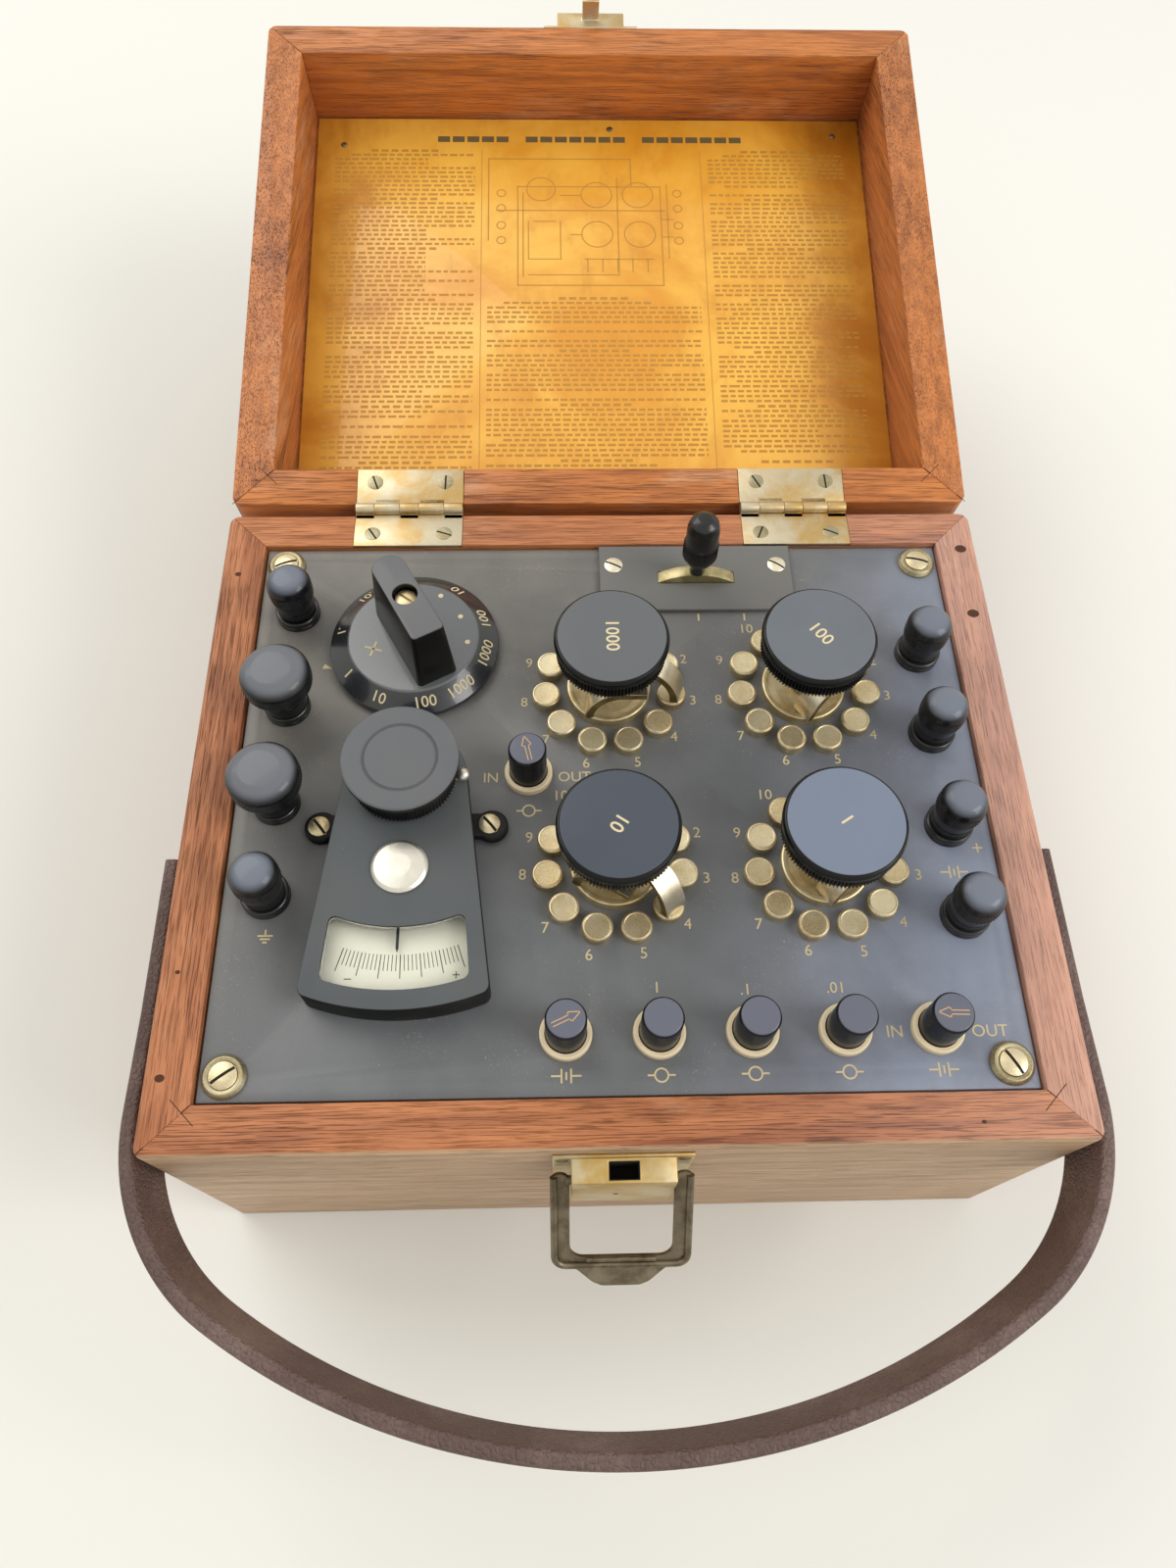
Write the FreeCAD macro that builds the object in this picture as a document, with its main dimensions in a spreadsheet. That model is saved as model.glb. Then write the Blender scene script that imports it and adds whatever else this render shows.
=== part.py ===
import FreeCAD, Part

import math
import os
import Sketcher

# Portable resistance-testing bridge in a hinged wooden case
# Millimetres. The origin is the centre of the underside of the case, +Z is up,
# +X is to the right of someone who faces the front, where the latch is.

DECADES = ("thousands", "hundreds", "tens", "units")
READINGS = (3, 2, 4, 2)
CONTACTS = 11
SPOOLS = 5
KNOB_SIDES = 20
DISC_SIDES = 16
PIECE_SIDES = 12
SMALL_SIDES = 8
SPOOL_SIDES = 6
WINDOW_STEPS = 4
FRONT_STEPS = 6
HALF_STEPS = 6
NEARLY = 1e-6

SIZES = [
    # Wooden case
    ("case_width", 235, "outside, left to right"),
    ("case_depth", 196, "outside, front to back"),
    ("case_height", 100, "underside to rim"),
    ("case_wall", 12.4, "board thickness"),
    ("case_corner", 3, "radius of the upright corners"),
    ("arris", 0.8, "bevel of the outer top edges"),
    ("bottom_thick", 8, "bottom board"),
    ("board_fit", 0.1, "clearance of a board between the walls"),
    ("overrun", 1, "how far a cutting tool passes the surface"),
    ("thin_edge", 0.3, "upright edge left beside a bevel"),
    # Panel and its corner blocks
    ("panel_drop", 1.5, "rim to the panel's top"),
    ("panel_thick", 6.35, "hard rubber sheet"),
    ("panel_gap", 0.7, "panel edge to wall"),
    ("block_side", 18, "corner block"),
    ("panel_screw_inset", 7, "screw axis to both inner walls"),
    ("panel_screw_radius", 2, "shank"),
    ("panel_screw_head", 3.6, "radius of the head"),
    ("panel_screw_cone", 1.9, "height of the head"),
    ("panel_screw_length", 20, "below the panel's top"),
    ("panel_screw_proud", 0.3, "head above its cup washer"),
    ("cup_radius", 5.65, "cup washer at the panel"),
    ("cup_lip", 4.6, "radius at the top of the cup washer"),
    ("cup_height", 1.7, "cup washer"),
    # Lid
    ("lid_wall", 12.6, "board thickness"),
    ("lid_depth", 28.6, "rim to the lid's inner face"),
    ("lid_board", 7, "top board"),
    ("lid_gap", 0.4, "rim to rim when shut"),
    ("lid_open", 168.7, "degrees from shut to the hinge stop"),
    ("card_thick", 0.8, "instruction card"),
    ("card_gap", 0.7, "card edge to lid wall"),
    # Hinges
    ("hinge_spread", 61.2, "centre of a hinge from the middle"),
    ("leaf_width", 33.8, "along the pin"),
    ("leaf_thick", 1.2, "sheet"),
    ("leaf_fit", 0.1, "round a leaf in its recess"),
    ("knuckle_radius", 2, "outside"),
    ("lid_knuckle", 8, "length of a knuckle of the lid's leaf"),
    ("web_near", 1, "pin axis to the near end of a knuckle's web"),
    ("web_far", 4, "pin axis to the far end of a knuckle's web"),
    ("knuckle_gap", 0.1, "between neighbouring knuckles"),
    ("hinge_pin_radius", 1, "pin"),
    ("running_fit", 0.05, "radial clearance of a turning fit"),
    # Latch on the front
    ("lock_plate_width", 35, "back plate"),
    ("lock_plate_thick", 1, "back plate"),
    ("lock_plate_drop", 4, "rim to the top of the plate"),
    ("lock_width", 25.7, "lock body"),
    ("lock_deep", 6.1, "how far the body stands off its plate"),
    ("lock_height", 28.8, "lock body"),
    ("lock_drop", 4.6, "rim to the top of the body"),
    ("lock_slot_width", 7.5, "slot for the lid's tongue"),
    ("lock_slot_deep", 4.4, "slot, front to back"),
    ("lock_slot_down", 10, "slot, downwards"),
    ("bail_drop", 18, "rim to the bail's pivot"),
    ("bail_out", 4, "front of the case to the bail's pivot"),
    ("bail_inner", 26.6, "between the legs"),
    ("bail_outer", 36.2, "over the legs"),
    ("bail_reach", 24.6, "pivot to the inner edge of the crossbar"),
    ("bail_bar", 3.2, "crossbar"),
    ("bail_tab", 6.5, "thumb tab past the crossbar"),
    ("bail_tab_width", 18, "tip of the thumb tab"),
    ("bail_heel", 2.2, "leg past the pivot"),
    ("bail_thick", 1.4, "sheet"),
    ("bail_pin_radius", 1.2, "pivot stub"),
    ("bail_pin_length", 3, "pivot stub into the lock body"),
    ("bail_hang", 139, "degrees from shut to hanging"),
    ("catch_plate_width", 34.4, "plate on the lid"),
    ("catch_plate_height", 12, "plate on the lid"),
    ("catch_width", 24.4, "box that the bail snaps over"),
    ("catch_height", 5.6, "box"),
    ("tongue_width", 6.1, "tongue that enters the lock"),
    ("tongue_thick", 1.2, "tongue"),
    ("tongue_drop", 7.5, "tongue below the lid's rim"),
    # Carrying strap
    ("strap_gap", 3, "side of the case to the strap's inner face"),
    ("strap_thick", 4, "leather"),
    ("strap_width", 20, "leather"),
    ("strap_height", 80, "middle of the strap above the table"),
    ("strap_bow", 65.5, "front of the case to the front of the strap"),
    ("strap_corner_start", 12.8, "front of the case back to where a corner curve begins"),
    ("strap_corner_radius", 58, "outer face of a corner curve"),
    ("strap_pivot_back", -28, "front to back place of the strap screws"),
    ("strap_end", 12, "screw to the end of the strap"),
    ("strap_screw_radius", 2.4, "shank"),
    ("strap_screw_grip", 9, "depth in the wood"),
    ("strap_screw_head", 5.5, "radius of the head"),
    ("strap_screw_dome", 1.8, "height of the head"),
    ("strap_washer_radius", 7, "spacer"),
    ("strap_play", 0.3, "each side of the strap"),
    ("strap_hole_play", 0.1, "round the shank"),
    # Decade switches
    ("dial_left", 0, "left column"),
    ("dial_right", 57, "right column"),
    ("dial_back", 32.4, "back row"),
    ("dial_front", -24, "front row"),
    ("contact_circle", 18.4, "dial centre to a contact"),
    ("contact_radius", 4.2, "contact stud"),
    ("contact_height", 3.3, "studs and collector above the panel"),
    ("collector_radius", 12.1, "fixed ring in the middle"),
    ("spindle_radius", 3, "brass spindle"),
    ("spindle_drop", 12, "spindle below the panel"),
    ("spindle_grip", 6, "spindle inside its knob"),
    ("knob_radius", 15.85, "smooth band at the top"),
    ("knob_skirt", 15.2, "serrated skirt"),
    ("knob_face", 14.8, "flat top"),
    ("knob_bevel", 1, "height of the bevel round the top"),
    ("knob_band", 3.2, "height of the smooth band"),
    ("knob_top", 28.6, "above the panel"),
    ("knob_base", 12, "lower edge above the panel"),
    ("hub_radius", 13, "brush holder"),
    ("brush_thick", 2.4, "laminated strip"),
    ("brush_width", 6.6, "laminated strip"),
    ("brush_gap", 0.05, "foot above its stud"),
    ("brush_toe", 2.4, "foot ahead of the stud's centre"),
    ("brush_heel", 3.4, "foot behind the stud's centre"),
    ("brush_rise", 9.5, "where the strip reaches the holder"),
    ("brush_end", 15, "end of the strip in the holder"),
    ("brush_sweep", 80, "degrees that the outer strip turns inwards"),
    ("inner_foot", 8.8, "dial centre to the inner foot"),
    ("inner_lag", 112, "degrees from the outer to the inner foot"),
    ("inner_sweep", 30, "degrees that the inner strip turns inwards"),
    ("spool_radius", 5.5, "resistance spool"),
    ("spool_height", 28, "resistance spool"),
    # Ratio dial
    ("ratio_across", -57, "centre"),
    ("ratio_back", 47.8, "centre"),
    ("ratio_radius", 24.8, "outer edge"),
    ("ratio_face", 18.7, "flat top"),
    ("ratio_edge", 2.5, "height of the outer edge"),
    ("ratio_height", 6.5, "flat top above the panel"),
    ("ratio_lift", 0.4, "underside above the panel"),
    ("grip_width", 9.7, "at the top"),
    ("grip_foot", 12.4, "width at the dial"),
    ("grip_length", 30, "at the top"),
    ("grip_foot_length", 34, "length at the dial"),
    ("grip_top", 27, "above the panel"),
    ("grip_turn", 28.1, "degrees that the grip stands turned"),
    ("grip_screw_radius", 3.6, "counterbore"),
    ("grip_screw_deep", 3, "counterbore"),
    # Switch lever at the back
    ("selector_plate_width", 59.6, "plate"),
    ("selector_plate_depth", 24.4, "plate"),
    ("selector_plate_thick", 1.5, "plate"),
    ("selector_across", 28.3, "lever"),
    ("selector_back", 72.7, "lever"),
    ("selector_slot", 23.3, "slot in the plate"),
    ("selector_slot_width", 4.4, "slot in the plate"),
    ("sector_radius", 21, "brass sector"),
    ("sector_thick", 4, "brass sector"),
    ("sector_span", 55, "degrees each side of the lever"),
    ("sector_axis_drop", 16.1, "panel top to the sector's axle"),
    ("axle_radius", 2, "sector's axle"),
    ("axle_length", 12, "sector's axle"),
    ("cheek_thick", 2.5, "bracket under the panel"),
    ("cheek_width", 12, "bracket under the panel"),
    ("cheek_play", 0.3, "cheek to sector"),
    ("lever_waist", 2.4, "radius"),
    ("lever_belt", 5.25, "radius of the knurled belt"),
    ("lever_neck", 3.5, "radius between belt and rounded end"),
    ("lever_dome", 4.8, "radius of the rounded end"),
    ("lever_crown", 2.9, "radius of the flat on top"),
    ("lever_waist_top", 7.7, "above the panel"),
    ("lever_belt_low", 12, "above the panel"),
    ("lever_belt_high", 14.9, "above the panel"),
    ("lever_neck_height", 17.9, "above the panel"),
    ("lever_dome_low", 23.2, "above the panel"),
    ("lever_dome_high", 24.4, "above the panel"),
    ("lever_top", 28.6, "above the panel"),
    # Galvanometer
    ("galv_across", -56.5, "pivot"),
    ("galv_back", -1, "pivot"),
    ("galv_height", 10, "housing above the panel"),
    ("galv_wall", 2, "housing wall"),
    ("galv_top", 1.8, "housing top"),
    ("galv_reach", 64.3, "pivot to the front edge"),
    ("galv_front_half", 24, "half width at the front"),
    ("galv_back_radius", 16.8, "rounded back end"),
    ("galv_ear_radius", 4.5, "screw ear"),
    ("galv_ear_height", 2.5, "screw ear"),
    ("galv_ear_across", 23.2, "pivot to an ear"),
    ("galv_ear_front", 10.6, "ear in front of the pivot"),
    ("window_far", 59.2, "pivot to the window's front edge"),
    ("window_near", 42.5, "pivot to the window's back edge"),
    ("window_far_half", 18.8, "half width at the front"),
    ("window_near_half", 17.3, "half width at the back"),
    ("glass_thick", 1.2, "window glass"),
    ("glass_fit", 0.1, "round the glass"),
    ("scale_height", 5, "scale above the panel"),
    ("scale_rim", 1.2, "scale past the window"),
    ("pointer_length", 47.6, "pivot to the tip"),
    ("pointer_width", 0.6, "needle"),
    ("pointer_height", 6.2, "needle above the panel"),
    ("pointer_hub", 1.6, "radius of the pivot post"),
    ("pointer_post", 7.9, "top of the pivot post"),
    ("button_radius", 7.5, "bright disc"),
    ("button_height", 1.6, "bright disc"),
    ("button_front", 26.2, "disc in front of the pivot"),
    ("adjuster_radius", 15.6, "top disc"),
    ("adjuster_barrel", 14.4, "barrel under the top disc"),
    ("adjuster_foot", 13.6, "barrel at its foot"),
    ("adjuster_base", 11.2, "above the panel"),
    ("adjuster_disc", 19.5, "underside of the top disc"),
    ("adjuster_top", 22, "above the panel"),
    ("adjuster_spigot", 4, "radius of the spigot in the housing"),
    ("spigot_base", 8.4, "foot of the spigot above the panel"),
    ("clamp_gap", 0.1, "clamp lever above the housing"),
    ("clamp_thick", 0.8, "clamp lever"),
    ("clamp_ring", 7, "radius of the lever's ring"),
    ("clamp_arm", 2.5, "width"),
    ("clamp_ball_radius", 1.9, "finger ball"),
    ("clamp_ball_flat", 1.1, "radius of its flats at foot and top"),
    ("clamp_ball_shoulder", 1.1, "height of its lower slope"),
    ("clamp_ball_height", 3.2, "foot to top"),
    ("clamp_ball_play", 0.4, "ball to barrel"),
    ("magnet_width", 40, "horseshoe under the panel"),
    ("magnet_length", 46, "horseshoe"),
    ("magnet_slot", 14, "between the poles"),
    ("magnet_height", 18, "horseshoe"),
    # Keys and turning switches
    ("key_front", -69.5, "row of keys"),
    ("key_first", -13.8, "leftmost key"),
    ("key_pitch", 23.6, "between keys"),
    ("galv_switch_across", -23.3, "galvanometer switch"),
    ("galv_switch_back", 5.1, "galvanometer switch"),
    ("key_radius", 5.2, "cap"),
    ("key_play", 0.2, "cap in its collar"),
    ("key_top", 15, "above the panel"),
    ("key_bevel", 0.7, "cap edge"),
    ("key_tail", 3, "below the panel"),
    ("key_travel", 2.5, "press"),
    ("collar_radius", 6.7, "brass collar"),
    ("collar_height", 2.2, "brass collar"),
    ("blade_width", 6, "contact blade"),
    ("blade_thick", 0.5, "contact blade"),
    ("blade_length", 15, "key axis to the blade's foot"),
    ("blade_foot", 6, "foot block"),
    ("blade_tip", 4, "blade past the key's axis"),
    ("blade_play", 0.3, "blade below a pressed key"),
    # Binding posts
    ("post_inset", 12.3, "side wall to both rows"),
    ("post_collar_radius", 6.5, "fixed collar"),
    ("post_collar_height", 3.2, "fixed collar"),
    ("post_stem_radius", 2.4, "stem"),
    ("post_stem_top", 13, "above the panel"),
    ("post_bore_top", 14, "above the panel"),
    ("post_seat", 0.1, "head above its collar"),
    ("post_foot_radius", 5.5, "small head at its foot"),
    ("post_head_radius", 6.4, "small head"),
    ("post_head_low", 10.5, "small head, where its side begins"),
    ("post_head_high", 15, "small head, where its dome begins"),
    ("post_head_crown", 4, "radius of the flat on top"),
    ("post_head_top", 18.7, "small head"),
    ("wide_foot_radius", 6.2, "large head at its foot"),
    ("wide_head_radius", 9.7, "large head"),
    ("wide_head_low", 13, "large head, underside of its rim"),
    ("wide_head_high", 18, "large head, where its dome begins"),
    ("wide_head_crown", 6, "radius of the flat on top"),
    ("wide_head_top", 21.5, "large head"),
    ("post_left_first", 60.6, "left row, from the back"),
    ("post_left_second", 27.7, "left row"),
    ("post_left_third", -3.6, "left row"),
    ("post_left_fourth", -31, "left row"),
    ("post_right_first", 44.4, "right row, from the back"),
    ("post_right_second", 16.9, "right row"),
    ("post_right_third", -12.6, "right row"),
    ("post_right_fourth", -39.2, "right row"),
    # Battery
    ("cell_radius", 16, "dry cell"),
    ("cell_height", 50, "dry cell"),
    ("cell_gap", 1, "back corner blocks to the row of cells"),
    ("cell_pitch", 40, "between cells"),
]

doc = FreeCAD.newDocument("TestingBridge")
sheet = doc.addObject("Spreadsheet::Sheet", "Sizes")
for row, (alias, value, note) in enumerate(SIZES, start=1):
    sheet.set(f"A{row}", alias)
    sheet.set(f"B{row}", str(value))
    sheet.setAlias(f"B{row}", alias)
    sheet.set(f"C{row}", note)
doc.recompute()


class Size:
    """A length that carries both its value and its spreadsheet formula."""

    def __init__(self, value, text):
        self.value = float(value)
        self.text = text

    def __add__(self, other):
        other = size(other)
        return Size(self.value + other.value, f"({self.text} + {other.text})")

    def __sub__(self, other):
        other = size(other)
        return Size(self.value - other.value, f"({self.text} - {other.text})")

    def __mul__(self, other):
        other = size(other)
        return Size(self.value * other.value, f"({self.text} * {other.text})")

    def __truediv__(self, other):
        other = size(other)
        return Size(self.value / other.value, f"({self.text} / {other.text})")

    def __radd__(self, other):
        return size(other) + self

    def __rsub__(self, other):
        return size(other) - self

    def __rmul__(self, other):
        return size(other) * self

    def __neg__(self):
        return Size(-self.value, f"(-1 * {self.text})")


def size(number):
    if isinstance(number, Size):
        return number
    return Size(number, f"({number:.9f})")


def cosine(degrees):
    return Size(math.cos(math.radians(degrees.value)), f"cos({degrees.text})")


def sine(degrees):
    return Size(math.sin(math.radians(degrees.value)), f"sin({degrees.text})")


def root(area):
    return Size(math.sqrt(area.value), f"sqrt({area.text})")


class Named:
    """Every named size, as an attribute."""


s = Named()
for alias, value, note in SIZES:
    setattr(s, alias, Size(value, f"Sizes.{alias}"))


# Heights and places that several pieces share

panel_top = s.case_height - s.panel_drop
panel_under = panel_top - s.panel_thick
inner_half_width = s.case_width / 2 - s.case_wall
inner_half_depth = s.case_depth / 2 - s.case_wall
front_face = -s.case_depth / 2
pin_back = s.case_depth / 2 + s.knuckle_radius
pin_height = s.case_height + s.lid_gap / 2
lid_rim = s.case_height + s.lid_gap
key_bore = s.key_radius + s.key_play
spindle_bore = s.spindle_radius + s.running_fit
panel_screw_bore = s.panel_screw_radius + s.running_fit
strap_bore = s.strap_screw_radius + s.strap_hole_play
case_knuckle = (s.leaf_width - s.lid_knuckle * 2) / 3
slot_middle = front_face - s.lock_plate_thick - s.lock_deep / 2
strap_half = s.case_width / 2 + s.strap_gap + s.strap_thick
post_side = inner_half_width - s.post_inset
post_places = {
    "post_left_1": (-post_side, s.post_left_first, "small"),
    "post_left_2": (-post_side, s.post_left_second, "large"),
    "post_left_3": (-post_side, s.post_left_third, "large"),
    "post_left_4": (-post_side, s.post_left_fourth, "small"),
    "post_right_1": (post_side, s.post_right_first, "small"),
    "post_right_2": (post_side, s.post_right_second, "small"),
    "post_right_3": (post_side, s.post_right_third, "small"),
    "post_right_4": (post_side, s.post_right_fourth, "small"),
}
dial_places = {
    "thousands": (s.dial_left, s.dial_back),
    "hundreds": (s.dial_right, s.dial_back),
    "tens": (s.dial_left, s.dial_front),
    "units": (s.dial_right, s.dial_front),
}
key_places = {
    "battery_key": (s.key_first, s.key_front),
    "key_1": (s.key_first + s.key_pitch, s.key_front),
    "key_tenth": (s.key_first + s.key_pitch * 2, s.key_front),
    "key_hundredth": (s.key_first + s.key_pitch * 3, s.key_front),
    "battery_switch": (s.key_first + s.key_pitch * 4, s.key_front),
    "galvanometer_switch": (s.galv_switch_across, s.galv_switch_back),
}
nodes = {}


# Helpers for the document

def bind(thing, prop, length):
    thing.setExpression(prop, length.text)


def place(thing, x=0, y=0, z=0, turn=0, about=(0, 0, 1)):
    """Put a piece at x, y, z, turned by so many degrees about an axis."""
    turn = size(turn)
    axis = FreeCAD.Vector(*about)
    first = turn.value if turn.value else 1
    thing.Placement = FreeCAD.Placement(FreeCAD.Vector(), FreeCAD.Rotation(axis, first))
    for name, length in (("x", size(x)), ("y", size(y)), ("z", size(z))):
        bind(thing, f"Placement.Base.{name}", length)
    bind(thing, "Placement.Rotation.Angle", turn)
    return thing


def keep(label, thing):
    """Make a piece one of the part's nodes."""
    thing.Label = label
    nodes[label] = thing
    return thing


def new_body(name):
    return doc.addObject("PartDesign::Body", name)


def sketch_on(body, role, lift=None):
    """A sketch on one of the body's own planes, lifted along its normal."""
    plane = next(part for part in body.Origin.OriginFeatures if part.Role == role)
    sketch = body.newObject("Sketcher::SketchObject", f"{body.Name}_outline")
    sketch.AttachmentSupport = [(plane, "")]
    sketch.MapMode = "FlatFace"
    if lift is not None:
        bind(sketch, "AttachmentOffset.Base.z", lift)
    return sketch


def arc_between(start, end, radius):
    """A short arc; a positive radius bulges to the right of the way from start to end."""
    way = end - start
    middle = (start + end) * 0.5
    left = FreeCAD.Vector(-way.y, way.x, 0).normalize()
    rise = math.sqrt(radius ** 2 - (way.Length / 2) ** 2)
    centre = middle + left * math.copysign(rise, radius)
    angles = [math.atan2(p.y - centre.y, p.x - centre.x) for p in (start, end)]
    if radius < 0:
        angles.reverse()
    return Part.ArcOfCircle(Part.Circle(centre, FreeCAD.Vector(0, 0, 1), abs(radius)), *angles)


def outline(sketch, corners, arcs=None):
    """A closed outline; arcs maps a corner's number to the radius of the edge after it."""
    arcs = arcs or {}
    count = len(corners)
    points = [FreeCAD.Vector(size(x).value, size(y).value, 0) for x, y in corners]
    edges = []
    for number in range(count):
        start = points[number]
        end = points[(number + 1) % count]
        if number in arcs:
            radius = arcs[number].value
            edge = sketch.addGeometry(arc_between(start, end, radius), False)
            edges.append((edge, 1, 2) if radius > 0 else (edge, 2, 1))
        else:
            edges.append((sketch.addGeometry(Part.LineSegment(start, end), False), 1, 2))
    rules = []
    lengths = []
    for number, corner in enumerate(corners):
        here = edges[number]
        after = edges[(number + 1) % count]
        rules.append(Sketcher.Constraint("Coincident", here[0], here[2], after[0], after[1]))
        lengths.append(None)
        for kind, length in zip(("DistanceX", "DistanceY"), corner):
            lengths.append(size(length))
            rules.append(Sketcher.Constraint(kind, -1, 1, here[0], here[1], lengths[-1].value))
    for number, radius in arcs.items():
        lengths.append(radius if radius.value > 0 else -radius)
        rules.append(Sketcher.Constraint("Radius", edges[number][0], lengths[-1].value))
    first = sketch.ConstraintCount
    sketch.addConstraint(rules)
    for number, length in enumerate(lengths, start=first):
        if length is not None:
            bind(sketch, f"Constraints[{number}]", length)
    return sketch


def rectangle(sketch, x_low, x_high, y_low, y_high):
    return outline(sketch, [(x_low, y_low), (x_high, y_low), (x_high, y_high), (x_low, y_high)])


def around(radius, sides):
    """Corner radius of a flat-sided bore whose flats clear a bar of this radius."""
    return radius / math.cos(math.pi / sides)


def hole_mark(sketch, x, y, radius, sides=SMALL_SIDES):
    """The outline of a flat-sided hole that clears a bar of this radius."""
    corner = around(radius, sides)
    turns = [number * math.tau / sides for number in range(sides)]
    return outline(sketch, [(x + corner * math.cos(turn), y + corner * math.sin(turn))
                            for turn in turns])


def pad(body, sketch, length, both_ways=False):
    feature = body.newObject("PartDesign::Pad", f"{body.Name}_pad")
    feature.Profile = sketch
    if both_ways:
        feature.SideType = "Symmetric"
    bind(feature, "Length", size(length))
    sketch.Visibility = False
    return feature


def pocket(body, sketch, depth, upwards=False, both_ways=False):
    feature = body.newObject("PartDesign::Pocket", f"{body.Name}_pocket")
    feature.Profile = sketch
    feature.Reversed = upwards
    if both_ways:
        feature.SideType = "Symmetric"
    bind(feature, "Length", size(depth))
    return feature


def bevelled_bar(name, radius, height, sides, slope):
    """A flat-sided bar with its top edges bevelled by so much inwards and downwards."""
    body = new_body(name)
    bar = body.newObject("PartDesign::AdditivePrism", f"{name}_bar")
    bar.Polygon = sides
    bind(bar, "Circumradius", radius)
    bind(bar, "Height", height)
    doc.recompute()
    picked = [f"Edge{number}" for number, edge in enumerate(bar.Shape.Edges, start=1)
              if all(abs(v.Z - height.value) < NEARLY for v in edge.Vertexes)]
    inwards, downwards = slope
    feature = bevel(body, bar, picked, downwards)
    feature.ChamferType = "Two distances"
    bind(feature, "Size2", inwards * math.cos(math.pi / sides))
    return body


def band(name, radius, low, high, sides=PIECE_SIDES, foot=None, top=None):
    """A flat-sided length of a turned piece; a bevel is given as inwards and along."""
    low = size(low)
    high = size(high)
    if foot is not None and top is not None:
        middle = (low + foot[1] + high - top[1]) / 2
        return joined(name, [band(f"{name}_lower", radius, low, middle, sides, foot=foot),
                             band(f"{name}_upper", radius, middle, high, sides, top=top)])
    if top is not None:
        return place(bevelled_bar(name, radius, high - low, sides, top), z=low)
    if foot is not None:
        bar = bevelled_bar(name, radius, high - low, sides, foot)
        return place(bar, z=high, turn=180, about=(1, 0, 0))
    return place(cylinder(name, radius, high - low, sides), z=low)


def bored(piece, radius, low, high, sides=SMALL_SIDES):
    """Bore a piece with a flat-sided hole that clears a bar of this radius."""
    tool = cylinder(f"{piece.Name}_drill", around(radius, sides), high - low, sides)
    return cut(f"{piece.Name}_bored", piece, place(tool, z=low))


def box(name, x_size, y_size, z_size):
    """A box whose base is centred on its own origin."""
    body = new_body(name)
    half_x = x_size / 2
    half_y = y_size / 2
    pad(body, rectangle(sketch_on(body, "XY_Plane"), -half_x, half_x, -half_y, half_y), z_size)
    return body


def cylinder(name, radius, height, sides=SMALL_SIDES):
    """A bar with flat sides; the radius is that of its corners."""
    bar = doc.addObject("Part::Prism", name)
    bar.Polygon = sides
    bind(bar, "Circumradius", size(radius))
    bind(bar, "Height", size(height))
    return bar


def shaft(name, radius, low, high):
    """A round bar between two heights, for what turns or is turned on."""
    low = size(low)
    bar = doc.addObject("Part::Cylinder", name)
    bind(bar, "Radius", size(radius))
    bind(bar, "Height", size(high) - low)
    return place(bar, z=low)


def copy_of(piece, x=0, y=0, z=0, turn=0, about=(0, 0, 1)):
    link = doc.addObject("App::Link", f"{piece.Name}_copy")
    link.LinkedObject = piece
    return place(link, x, y, z, turn, about)


def group(label, pieces):
    """One node of separate solids."""
    together = doc.addObject("Part::Compound", label)
    together.Links = pieces
    return keep(label, together)


def joined(name, pieces):
    fused = doc.addObject("Part::MultiFuse", name)
    fused.Shapes = pieces
    fused.Refine = True
    return fused


def cut(name, piece, tool):
    result = doc.addObject("Part::Cut", name)
    result.Base = piece
    result.Tool = tool
    return result


def opened(node):
    """Turn a node of the shut lid back about the hinge pin to its stop."""
    level = cosine(s.lid_open)
    rise = sine(s.lid_open)
    back = pin_back - (pin_back * level + pin_height * rise)
    up = pin_height + pin_back * rise - pin_height * level
    return place(node, 0, back, up, -s.lid_open, (1, 0, 0))


# Mitred boards of the case and the lid

def board(name, half_long, half_across, wall, height):
    """The front board of a mitred frame, with its share of the rounded corners."""
    body = new_body(name)
    corner = s.case_corner
    straight = half_long - corner
    diagonal = corner * cosine(size(45))
    side = straight + diagonal
    back = -half_across + corner - diagonal
    inner = -half_across + wall
    corners = [(-straight, -half_across), (straight, -half_across), (side, back),
               (half_long - wall, inner), (wall - half_long, inner), (-side, back)]
    sketch = outline(sketch_on(body, "XY_Plane"), corners, {1: corner, 5: corner})
    pad(body, sketch, height)
    return body


def bevel(body, base, edges, width):
    feature = body.newObject("PartDesign::Chamfer", f"{body.Name}_arris")
    feature.Base = (base, edges)
    bind(feature, "Size", width)
    body.Tip = feature
    return feature


def bevel_top(body, half_across, height):
    """Bevel the outer top edge of a board."""
    doc.recompute()
    base = body.Tip
    limit = s.case_corner.value - half_across.value
    picked = []
    for number, edge in enumerate(body.Shape.Edges, start=1):
        high = all(abs(v.Z - height.value) < NEARLY for v in edge.Vertexes)
        if high and edge.BoundBox.YMax <= limit:
            picked.append(f"Edge{number}")
    bevel(body, base, picked, s.arris)


def hinge_recess(body, half_across, wall, height):
    """Two shallow recesses that take the hinge leaves."""
    half = s.leaf_width / 2 + s.leaf_fit
    for middle in (-s.hinge_spread, s.hinge_spread):
        sketch = sketch_on(body, "XY_Plane", height)
        rectangle(sketch, middle - half, middle + half,
                  -half_across - s.overrun, -half_across + wall + s.overrun)
        pocket(body, sketch, s.leaf_thick)


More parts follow.
